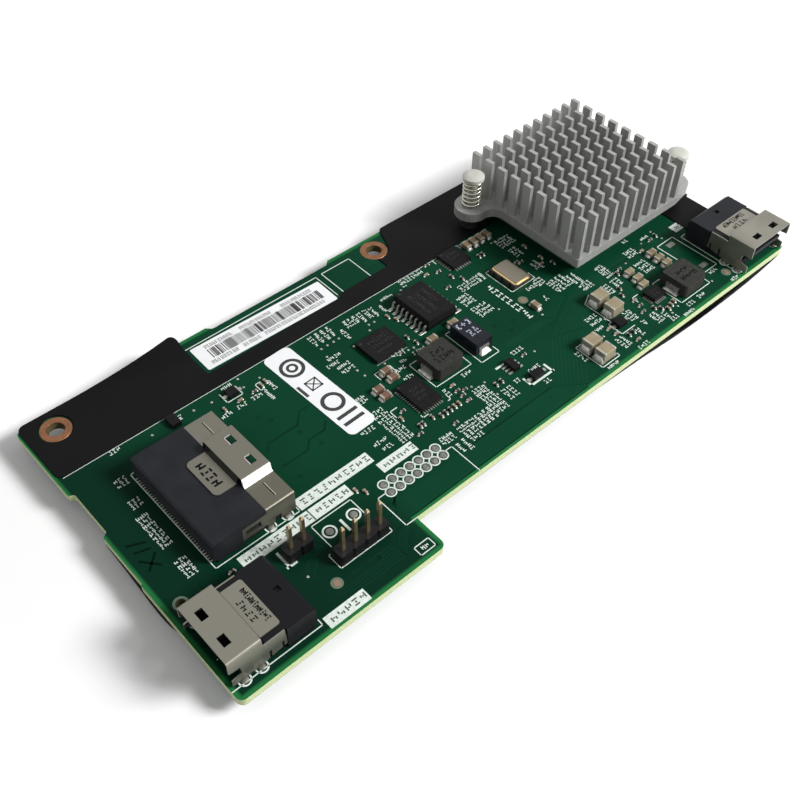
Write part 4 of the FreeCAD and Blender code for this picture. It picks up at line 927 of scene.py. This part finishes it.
# Black sleeves that the pins stand in between the ears and the board
sleeve = Finish("black pin sleeve", (0.010, 0.010, 0.010), 0.6, Specular_IOR_Level=0.15)
sleeve.grain(1500.0, 0.3, 0.00002)
sink_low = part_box("heatsink")[0]
pin_lows, pin_highs = solids_of("push_pins")
pin_axes = (pin_lows + pin_highs)[:, :2] / 2
sleeve_bore, sleeve_r, collar_r = 1.12, 2.05, 2.38
piece("pin_sleeves", turned(pin_axes, [
    (sleeve_bore * MM, board_top), (sleeve_bore * MM, sink_low.z - 0.02 * MM),
    (1.95 * MM, sink_low.z - 0.02 * MM), (sleeve_r * MM, sink_low.z - 0.2 * MM),
    (sleeve_r * MM, board_top + 0.7 * MM), (collar_r * MM, board_top + 0.25 * MM),
    (collar_r * MM, board_top)], 40), sleeve, "nylon", smooth=True)

substrate = Finish("chip substrate", (0.02, 0.07, 0.035), 0.4)
substrate.grain(1500.0, 0.2, 0.00001)
dress("controller_chip", substrate)
lid_copper = Finish("nickel-plated lid", (0.42, 0.41, 0.39), 0.35, Metallic=1.0)
lid_copper.grain(1500.0, 0.2, 0.00001)
dress("chip_lid", lid_copper)
pad_grey = Finish("thermal pad", (0.35, 0.37, 0.39), 0.7)
pad_grey.grain(1300.0, 0.4, 0.00003)
dress("thermal_pad", pad_grey)


# ------------------------------------------------------ cable receptacles
# Folded nickel-plated sheet over a glass-filled polymer block, with a row of
# tinned contact tails behind and four solder legs. The sheet's colour carries
# painted light by place: painted shade on the wide port, more on its flat in front
# of the hood, and on port B; on the wide port's hood a nearly white painted
# reflection on the slope that faces the front, and a dark painted reflection on the riser.
nickel = Finish("nickel-plated sheet", (0.36, 0.35, 0.30), 0.34, Metallic=0.85)
rolled = nickel.noise(1.0, 3.0, (260.0, 1900.0, 260.0))
smudge = nickel.noise(150.0, 3.0)
wide_low, wide_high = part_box("wide_port_shell")
wide_middle = (wide_low.y + wide_high.y) / 2
port_b_right, port_b_rear = 0.008, -0.045
beyond = 0.0001
hood_half, hood_depth, hood_base = 5.45, 5.75, 4.75
slope_over, slope_reach = 0.12, 0.62
riser_near, riser_far, riser_base = 5.68, 6.25, 5.1
hood_front = wide_middle - hood_half * MM
slope_foot = hood_front - slope_reach * MM
on_hood = ((nickel.x < wide_high.x) * (nickel.x > wide_high.x - hood_depth * MM)
           * (nickel.z > board_top + hood_base * MM))
# Painted reflection: the hood's slope that faces the front, painted nearly white
slope_painted_white = on_hood * (nickel.y < hood_front + slope_over * MM) * (nickel.y > slope_foot)
# Painted reflection: the riser, painted near black
riser_painted_dark = ((nickel.x < wide_high.x - riser_near * MM)
              * (nickel.x > wide_high.x - riser_far * MM)
              * (nickel.z > board_top + riser_base * MM) * (nickel.y > wide_low.y))
on_wide_port = ((nickel.x < wide_high.x + beyond) * (nickel.x > wide_low.x - beyond)
                * (nickel.y < wide_high.y + beyond) * (nickel.y > wide_low.y - beyond))
right_flat = on_wide_port * (nickel.y < slope_foot)
on_port_b = (nickel.x < port_b_right) * (nickel.y < port_b_rear)
sheet = nickel.mix(smudge.ramp(0.3, 0.7), (0.31, 0.30, 0.255), (0.24, 0.23, 0.195))
# Painted shade: darker sheet colours on the wide port, its front flat and port B, and the riser's
# dark painted reflection
painted_dark_places = [(on_wide_port, (0.185, 0.177, 0.145)), (right_flat, (0.135, 0.128, 0.100)),
                 (on_port_b, (0.225, 0.218, 0.180)), (riser_painted_dark, (0.035, 0.035, 0.032))]
for where, darker in painted_dark_places:
    sheet = nickel.mix(where, sheet, darker)
nickel.set("Base Color", nickel.mix(slope_painted_white, sheet, (0.92, 0.91, 0.88)))
# The painted white slope is also made far less metallic
nickel.set("Metallic", 0.85 - 0.75 * slope_painted_white)
nickel.set("Roughness", (0.28 + 0.14 * smudge).higher(0.5 * slope_painted_white))
nickel.bump(rolled, 0.05, 0.00001)
moulded = Finish("moulded receptacle block", (0.022, 0.024, 0.030), 0.5,
                 Specular_IOR_Level=0.14)
housing_b_low, housing_b_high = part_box("port_b_housing")
# Painted shade: the block of port B is coloured darker than the other blocks
housing_b_shade = ((moulded.x < housing_b_high.x + 0.001) * (moulded.y < housing_b_high.y + 0.001)
        * (moulded.x > housing_b_low.x - 0.001))
block_grey = moulded.mix(moulded.noise(260.0).ramp(0.3, 0.7),
                         (0.0095, 0.0105, 0.0135), (0.0155, 0.0165, 0.0205))
moulded.set("Base Color", moulded.mix(housing_b_shade, block_grey, (0.0045, 0.0046, 0.0062)))
moulded.grain(2400.0, 0.3, 0.00002)


def leg_places_of(shell, mouth, legs):
    """Where a shell's legs stand: on both side walls, so far in from its mouth,
    which is at the low end of Y ("front") or at the low or high end of X."""
    low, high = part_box(shell)
    if mouth == "front":
        return [(x, low.y + leg * MM) for x in (low.x, high.x) for leg in legs]
    edge, sign = (low.x, 1) if mouth == "low" else (high.x, -1)
    return [(edge + sign * leg * MM, y) for y in (low.y, high.y) for leg in legs]


# Ringed pads with solder round the legs of the shells
leg_places = (leg_places_of("port_a_shell", "front", (2.25, 5.35))
              + leg_places_of("port_b_shell", "low", (2.25, 5.35))
              + leg_places_of("wide_port_shell", "high", (1.8, 5.3)))
piece("leg_rings", turned(leg_places, ring_profile(0.86, 1.12, ink_t), 32), ink, "label")
piece("leg_joints", turned(leg_places, section([
    (0.02, 0), (0.68, 0), (0.62, 0.06), (0.35, 0.14), (0.02, 0.3)]), 24),
      dull_tin, "tin", smooth=True)

# Embossed ribs beside the flats' slots and the bent lips inside the latch windows,
# in a lighter copy of the sheet's finish: a painted highlight
# Painted highlight: the ribs and lips are a brighter copy of the nickel-plated sheet
lip = Finish("bent lip with painted highlight", (0.62, 0.62, 0.58), 0.3, Metallic=0.7)
lip.grain(1500.0, 0.2, 0.00001)
middle_y, mouth_x = wide_middle / MM, wide_high.x / MM
wide_width, hood_width = 23.4, 10.9
rib_top = board_top + 4.8 * MM
rib_half, window_half, window_off = 1.58, 0.98, 2.75
rib_lows, rib_highs, window_bars = [], [], []
for side in (-1, 1):
    rib_y = middle_y + side * (wide_width + hood_width) / 4
    rib_lows.append([mouth_x - 2.66, rib_y - rib_half])
    rib_highs.append([mouth_x - 2.53, rib_y + rib_half])
    y = middle_y + side * window_off
    window_bars.append(((mouth_x - 2.63, y - window_half), (mouth_x - 2.63, y + window_half)))
    window_bars.append(((mouth_x - 2.69, y + 0.95), (mouth_x - 1.5, y + 0.95)))
piece("shell_ribs", stacked(at(*rib_lows), at(*rib_highs), section([
    (0.02, -0.2), (0, -0.1), (0.01, 0), (0.04, 0.03)], rib_top), 0.05 * MM, 3),
      lip, "nickel_sheet", smooth=True)
piece("window_lips", flat_bars(
    *runs(window_bars), 0.14 * MM, wide_high.z - 0.24 * MM, wide_high.z - 0.005 * MM),
      lip, "nickel_sheet")
for port in ("port_a", "port_b", "wide_port"):
    dress(port + "_shell", nickel)
    dress(port + "_housing", moulded)
    dress(port + "_contacts", tin)


# ----------------------------------------------------------- pin headers
# Square gold-flashed pins in black insulators: one header of two, one of four.
gold = Finish("gold-flashed pin", (0.60, 0.46, 0.25), 0.28, Metallic=0.95)
gold.mottle(600.0, 0.35, 0.7, (0.62, 0.48, 0.27), (0.50, 0.40, 0.26))
gold.grain(1800.0, 0.2, 0.00002)
dress("header_pins", gold)
header_black = Finish("header insulator", (0.008, 0.008, 0.009), 0.45,
                      Specular_IOR_Level=0.16)
header_black.grain(1800.0, 0.3, 0.00002)
dress("header_two_body", header_black)
dress("header_four_body", header_black)


# ------------------------------------------- inductors and large capacitor
# Two inductors of pressed iron powder and a polymer capacitor in dark blue
# moulding, with tinned terminals. The flat packages are black epoxy.
ferrite = Finish("pressed iron powder", (0.075, 0.070, 0.062), 0.7,
                 Specular_IOR_Level=0.15)
grain = ferrite.noise(1700.0, 2.0)
ferrite.set("Base Color", ferrite.mix(grain.ramp(0.35, 0.7), (0.034, 0.034, 0.030),
                                      (0.022, 0.022, 0.020)))
ferrite.bump(grain, 0.6, 0.00004)
dress("inductor_bodies", ferrite)
dress("inductor_terminals", tin)
epoxy = Finish("black moulding epoxy", (0.010, 0.010, 0.011), 0.5,
               Specular_IOR_Level=0.10)
epoxy.mottle(900.0, 0.35, 0.7, (0.0055, 0.0055, 0.006), (0.009, 0.009, 0.0095))
epoxy.grain(2600.0, 0.4, 0.00002)
navy = Finish("dark blue moulding", (0.007, 0.008, 0.013), 0.4, Specular_IOR_Level=0.2)
navy.mottle(900.0, 0.35, 0.7, (0.006, 0.007, 0.012), (0.011, 0.012, 0.019))
navy.grain(2600.0, 0.3, 0.00002)
dress("bulk_capacitor_body", navy)
for package in ("memory_chip_body", "logic_chip", "power_stage_chip",
                "regulator_chip", "charger_chip", "mini_semiconductors"):
    dress(package, epoxy)
dress("bulk_capacitor_terminals", tin)
dress("memory_chip_leads", tin)


# Pads and fillets that show round the flat packages: short tinned bars, with a
# joint under each lead of the memory chip and each terminal.
def pad_row(start, step, count, length, width, height):
    """A row of pads from start, each step further on and length long."""
    starts = np.array(start) + np.arange(count)[:, None] * np.array(step)
    length = np.array(length)
    return flat_bars(starts * MM, (starts + length) * MM, width * MM, board_top,
                     board_top + height * MM)


def edges_of(node):
    """A node's left, front, right and rear edge, in millimetres."""
    low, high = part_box(node)
    return low.x / MM, low.y / MM, high.x / MM, high.y / MM


logic = edges_of("logic_chip")
stage = edges_of("power_stage_chip")
regulator = edges_of("regulator_chip")
charger = edges_of("charger_chip")
pad_w = 0.24
pads = [
    pad_row((regulator[0] - 0.5, regulator[1] + 0.6), (0, 0.62), 7, (0.6, 0), 0.3, 0.12),
    pad_row((regulator[0] + 0.6, regulator[1] - 0.5), (0.62, 0), 7, (0, 0.6), 0.3, 0.12),
    pad_row((stage[0] + 0.35, stage[1] - 0.4), (0.53, 0), 9, (0, 0.5), pad_w, 0.1),
    pad_row((stage[0] - 0.35, stage[1] + 0.5), (0, 0.52), 13, (0.4, 0), pad_w, 0.1),
    pad_row((stage[2] - 0.05, stage[1] + 0.5), (0, 0.52), 13, (0.4, 0), pad_w, 0.1),
    pad_row((charger[0] - 0.5, charger[1] + 0.35), (0, 0.5), 5, (0.6, 0), 0.26, 0.1),
    pad_row((charger[0] + 0.4, charger[1] - 0.5), (0.5, 0), 6, (0, 0.6), 0.26, 0.1),
    pad_row((logic[0] - 0.1, logic[1] - 0.28), (7.5, 0), 1, (7.3, 0), 0.2, 0.02),
]
clear_of_wide_port = 20.0
for low, high in zip(*solids_of("mini_semiconductors")):
    x0, y0, x1, y1 = low[0] / MM, low[1] / MM, high[0] / MM, high[1] / MM
    if x0 < clear_of_wide_port:
        continue
    if y1 - y0 > x1 - x0:
        pads.append(pad_row((x0 - 0.95, y0 + 0.35), (0, 0.85), 3, (1.1, 0), 0.4, 0.16))
        pads.append(pad_row((x1 - 0.1, y0 + 0.35), (0, 0.85), 3, (0.9, 0), 0.4, 0.16))
    else:
        pads.append(pad_row((x0 - 0.7, (y0 + y1) / 2), (x1 - x0 + 0.5, 0), 2, (0.9, 0),
                            0.7, 0.3))
open_pads = [((121.5, -39.6), (122.4, -39.6)), ((121.5, -48.1), (122.4, -48.1))]
piece("package_pads", join(*pads), tin, "tin")
piece("open_pads", flat_bars(*runs(open_pads), 1.15 * MM, board_top, board_top + 0.08 * MM),
      dull_tin, "tin")

lead_lows, lead_highs = solids_of("memory_chip_leads")
outer_left = lead_lows[:, 0] < (lead_lows[:, 0].min() + lead_highs[:, 0].max()) / 2
foot_low, foot_high = lead_lows.copy(), lead_highs.copy()
foot_len = 1.1 * MM
foot_high[outer_left, 0] = lead_lows[outer_left, 0] + foot_len
foot_low[~outer_left, 0] = lead_highs[~outer_left, 0] - foot_len
foot_margin, tab_margin, coil_margin = at((0.35, 0.12), (0.25, 0.9), (0.7, 0.3))
foot_low[:, :2] -= foot_margin
foot_high[:, :2] += foot_margin
tab_lows, tab_highs = solids_of("bulk_capacitor_terminals")
tab_lows[:, :2] -= tab_margin
tab_highs[:, :2] += tab_margin
coil_lows, coil_highs = solids_of("inductor_terminals")
coil_lows[:, :2] -= coil_margin
coil_highs[:, :2] += coil_margin
low_joint = section([(0, 0), (0.02, 0.06), (0.14, 0.12)])
tab_joint = section([(0, 0), (0.15, 0.2), (0.5, 0.45), (0.8, 0.9)])
coil_joint = section([(0, 0), (0.12, 0.12), (0.5, 0.3)])
piece("terminal_joints", join(
    stacked(foot_low, foot_high, low_joint, 0.15 * MM, 2),
    stacked(tab_lows, tab_highs, tab_joint, 0.4 * MM, 3),
    stacked(coil_lows, coil_highs, coil_joint, 0.3 * MM, 3)), tin, "tin", smooth=True)


# ------------------------------------------------------------- oscillator
# A plated lid on a dark ceramic base, with a gold seam that shows round the lid.
lid_gold = Finish("plated oscillator lid", (0.31, 0.28, 0.225), 0.34, Metallic=0.9)
lid_gold.grain(1400.0, 0.2, 0.00001)
dress("oscillator_lid", lid_gold)
seam_gold = Finish("gold seam of the lid", (0.70, 0.52, 0.26), 0.3, Metallic=1.0)
seam_gold.grain(1600.0, 0.2, 0.00001)
lid_low, lid_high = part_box("oscillator_lid")
piece("oscillator_seam", stacked([lid_low], [lid_high], section([
    (-0.28, -0.4), (-0.3, 0.02), (-0.1, 0.12), (0.02, 0.14)], lid_low.z), 0.5 * MM, 4),
      seam_gold, "gold")
dark_ceramic = Finish("dark ceramic", (0.030, 0.026, 0.024), 0.5)
dark_ceramic.grain(1700.0, 0.3, 0.00002)
dress("oscillator_base", dark_ceramic)


# ----------------------------------------------------------------- labels
# White paper labels: a long one by the rear edge and one by the memory chip.
paper = Finish("label paper", (0.86, 0.87, 0.88), 0.5)
paper.mottle(300.0, 0.3, 0.7, (0.87, 0.88, 0.89), (0.82, 0.83, 0.84))
paper.grain(2600.0, 0.15, 0.00001)
dress("barcode_label", paper)
dress("marks_label", paper)


# ------------------------------------------------------- marks on the parts
# Lasered or stamped rows on packages and shells, of the same random marks.
laser_grey = Finish("laser mark", (0.024, 0.024, 0.025), 0.7, Specular_IOR_Level=0.2)
laser_grey.mottle(1400.0, 0.3, 0.7, (0.018, 0.018, 0.019), (0.032, 0.032, 0.033))
laser_grey.grain(2500.0, 0.2, 0.00001)
stamp_dark = Finish("stamped mark", (0.006, 0.006, 0.006), 0.6, Specular_IOR_Level=0.05)
stamp_dark.mottle(1400.0, 0.3, 0.7, (0.003, 0.003, 0.003), (0.008, 0.008, 0.008))
stamp_dark.grain(2500.0, 0.2, 0.00001)


def top_marks(node, rows, down, pitch, height):
    """Marks on a part: rows of (x, y, count) counted from its middle."""
    low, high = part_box(node)
    x, y = (low.x + high.x) / 2 / MM, (low.y + high.y) / 2 / MM
    return reference_marks([(x + dx, y + dy, n) for dx, dy, n in rows], down, pitch, height,
                           high.z)


def dots(node, places, radius):
    """Round dots on a part, placed from its middle."""
    low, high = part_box(node)
    middle = np.array([(low.x + high.x) / 2, (low.y + high.y) / 2])
    return turned(middle + at(*places), [
        (pole, high.z), (pole, high.z + ink_t), (radius * MM, high.z + ink_t),
        (radius * MM, high.z)], 20)


piece("package_marks", join(
    top_marks("memory_chip_body", [(-1.6, 3.0, 8), (0.1, 3.0, 8), (1.8, 3.0, 6)], True, 0.8, 1.0),
    dots("memory_chip_body", [(-2.6, 4.6)], 0.4),
    top_marks("logic_chip", [(-2.0, 1.4, 7), (-2.0, 0.0, 7), (-2.0, -1.4, 5)], False, 0.75, 0.9),
    dots("logic_chip", [(-3.1, 2.3)], 0.3),
    top_marks("power_stage_chip", [(-1.3, 1.2, 5), (-1.3, 0.0, 5), (-1.3, -1.2, 4)], False,
              0.6, 0.8),
    dots("power_stage_chip", [(-2.2, 3.2)], 0.28),
    top_marks("regulator_chip", [(-1.3, 0.9, 4), (-1.3, -0.3, 4)], False, 0.7, 0.8),
    dots("regulator_chip", [(-1.9, 1.8)], 0.26),
    top_marks("charger_chip", [(-0.9, 0.5, 3), (-0.9, -0.5, 3)], False, 0.6, 0.7)),
      laser_grey, "chip_mould")


def tongue_marks(shell, down, inward, sideways, count, pitch, height, top):
    """A row of marks on a receptacle's tongue, sideways from its middle and inward
    from its mouth: inward is below 0 where the mouth is at the high end of X."""
    low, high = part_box(shell)
    if down:
        edge = high.x if inward < 0 else low.x
        place = (edge / MM + inward, (low.y + high.y) / 2 / MM + sideways)
    else:
        place = ((low.x + high.x) / 2 / MM - sideways, low.y / MM + inward)
    return reference_marks([(*place, count)], down, pitch, height, board_top + top)


# Inductor tops carry two short rows, and the three cable receptacles carry rows
# that run across their tongues.
coil_rows = []
for low, high in zip(*solids_of("inductor_bodies")):
    x, y = (low[0] + high[0]) / 2 / MM, (low[1] + high[1]) / 2 / MM
    coil_rows.append(reference_marks([(x - 1.6, y + 0.9, 3)], False, 1.15, 1.35, high[2]))
    coil_rows.append(reference_marks([(x - 2.1, y - 0.9, 4)], False, 1.15, 1.35, high[2]))
tongue_top = 5.35 * MM
wide_tongue_top = 5.05 * MM
port_rows = [tongue_marks(shell, down, inward, sideways, count, pitch, 1.15, tongue_top)
             for shell, down in (("port_b_shell", True), ("port_a_shell", False))
             for inward, sideways, count, pitch in ((9.35, 3.3, 11, 0.62), (7.75, 2.0, 4, 1.15))]
port_rows.append(tongue_marks("wide_port_shell", True, -8.4, 2.9, 4, 1.5, 2.0, wide_tongue_top))
piece("stamped_marks", join(*coil_rows, *port_rows), stamp_dark, "label")

# Polarity end of the polymer capacitor: two pale blocks with a plus between
# them as a plain polarity sign, and two columns of marks
polarity = Finish("polarity print", (0.30, 0.36, 0.46), 0.5)
polarity.mottle(1400.0, 0.3, 0.7, (0.38, 0.43, 0.52), (0.50, 0.55, 0.64))
polarity.grain(2500.0, 0.2, 0.00001)
left, _, right, rear = edges_of("bulk_capacitor_body")
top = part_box("bulk_capacitor_body")[1].z
mid = (left + right) / 2
piece("polarity_marks", join(
    flat_bars(at((left + 0.75, rear - 0.7), (right - 0.75, rear - 0.7),
                 (left + 0.85, rear - 0.7), (left + 0.85, rear - 1.8),
                 (right - 1.05, rear - 0.7), (right - 1.05, rear - 1.8)),
              at((left + 0.75, rear - 1.8), (right - 0.75, rear - 1.8),
                 (left + 1.05, rear - 0.7), (left + 1.05, rear - 1.8),
                 (right - 0.85, rear - 0.7), (right - 0.85, rear - 1.8)),
              0.3 * MM, top, top + ink_t),
    flat_bars(at((mid - 0.4, rear - 1.25), (mid, rear - 1.65)),
              at((mid + 0.4, rear - 1.25), (mid, rear - 0.85)), 0.2 * MM, top, top + ink_t),
    top_marks("bulk_capacitor_body", [(0.9, 0.6, 3), (-0.5, 0.6, 3)], True, 0.7, 0.9)),
      polarity, "label")

# Four strokes of a felt marker at the left edge of the board, two of them crossing
marker = Finish("felt marker", (0.0012, 0.009, 0.006), 0.45, Specular_IOR_Level=0.02)
marker.grain(1200.0, 0.2, 0.00001)
piece("marker_strokes", flat_bars(
    at((-3.9, -29.2), (-3.6, -31.2), (-1.2, -33.2), (-3.9, -33.0)),
    at((-1.3, -30.4), (-1.3, -31.9), (-3.6, -35.4), (-1.7, -35.6)), 0.42 * MM,
    board_top, board_top + track_t), marker, "laminate")


# Print on the labels: upright bars and rows of level ticks along the rear label,
# and rings, a crossed square and bars on the other one, in place of printed signs.
print_black = Finish("label print", (0.02, 0.02, 0.022), 0.55)
print_black.mottle(1500.0, 0.35, 0.7, (0.010, 0.010, 0.011), (0.035, 0.035, 0.036))
print_black.grain(2500.0, 0.2, 0.00001)
print_t = 0.00002


def label_frame(node, turn):
    """The middle and the two directions of a label that lies turned on the board."""
    low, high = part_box(node)
    a = math.radians(turn)
    return (np.array([(low.x + high.x) / 2, (low.y + high.y) / 2]),
            np.array([math.cos(a), math.sin(a)]), np.array([-math.sin(a), math.cos(a)]), high.z)


def label_bars(label, starts, ends, width):
    """Bars on a label: points along and across it, in millimetres, are carried
    over by its two directions."""
    middle, along, across, top = label
    starts, ends = np.asarray(starts, float) * MM, np.asarray(ends, float) * MM
    return flat_bars(middle + starts[:, :1] * along + starts[:, 1:] * across,
                     middle + ends[:, :1] * along + ends[:, 1:] * across,
                     np.asarray(width, float) * MM, top, top + print_t)


def label_ticks(label, x, y, count, pitch, height, width):
    """A row of print: each mark is three level ticks of uneven length."""
    places = x + pitch * np.arange(count)
    share = row_dice.uniform(0.3, 0.8, (count, 3))
    level = (np.arange(3) - 1) * height * 0.4
    starts = np.stack([np.repeat(places[:, None], 3, 1), np.tile(y + level, (count, 1))], -1)
    ends = starts.copy()
    ends[..., 0] += share * pitch
    return label_bars(label, starts.reshape(-1, 2), ends.reshape(-1, 2), width)


rear_label = label_frame("barcode_label", -1.2)
bar_count = 66
bar_steps = np.cumsum(row_dice.choice([0.28, 0.34, 0.42, 0.5], bar_count))
bar_x = -12.9 + bar_steps / bar_steps[-1] * 26.2
bar_w = row_dice.choice([0.16, 0.22, 0.32], bar_count)
bar_low = np.stack([bar_x, np.full(bar_count, -1.15)], 1)
bar_high = np.stack([bar_x, np.full(bar_count, 1.25)], 1)
upper_rows = [(-12.6, 10), (-4.6, 12), (5.2, 12)]
lower_rows = [(-13.6, 9), (-6.5, 6), (-1.5, 22)]
piece("rear_label_print", join(
    label_bars(rear_label, bar_low, bar_high, bar_w),
    *[label_ticks(rear_label, x, 2.15, count, 0.62, 0.8, 0.13) for x, count in upper_rows],
    *[label_ticks(rear_label, x, -2.1, count, 0.66, 0.85, 0.14) for x, count in lower_rows]),
      print_black, "label")

side_label = label_frame("marks_label", 2.0)
side_middle, _, side_across, side_top = side_label


def side_ring(across_mm, inner, outer):
    """A printed ring on the label's middle line."""
    place = side_middle + side_across * across_mm * MM
    return turned([place], ring_profile(inner, outer, print_t, side_top), 48)


square = [(-0.9, 0.4), (1.5, 0.4), (1.5, 2.7), (-0.9, 2.7)]
cross = [(-0.9, 0.4), (-0.9, 2.7)]
piece("side_label_print", join(
    side_ring(7.3, 1.75, 2.45), side_ring(7.3, 0.6, 1.15),
    label_bars(side_label, square, square[1:] + square[:1], 0.28),
    label_bars(side_label, cross, [(1.5, 2.7), (1.5, 0.4)], 0.24),
    label_bars(side_label, [(-2.45, 0.1)], [(-2.45, 2.6)], 0.62),
    side_ring(-4.1, 1.55, 2.3),
    label_bars(side_label, [(-1.9, -7.9)], [(1.9, -7.9)], 0.75),
    label_bars(side_label, [(-1.9, -9.8)], [(1.9, -9.8)], 0.75)), print_black, "label")
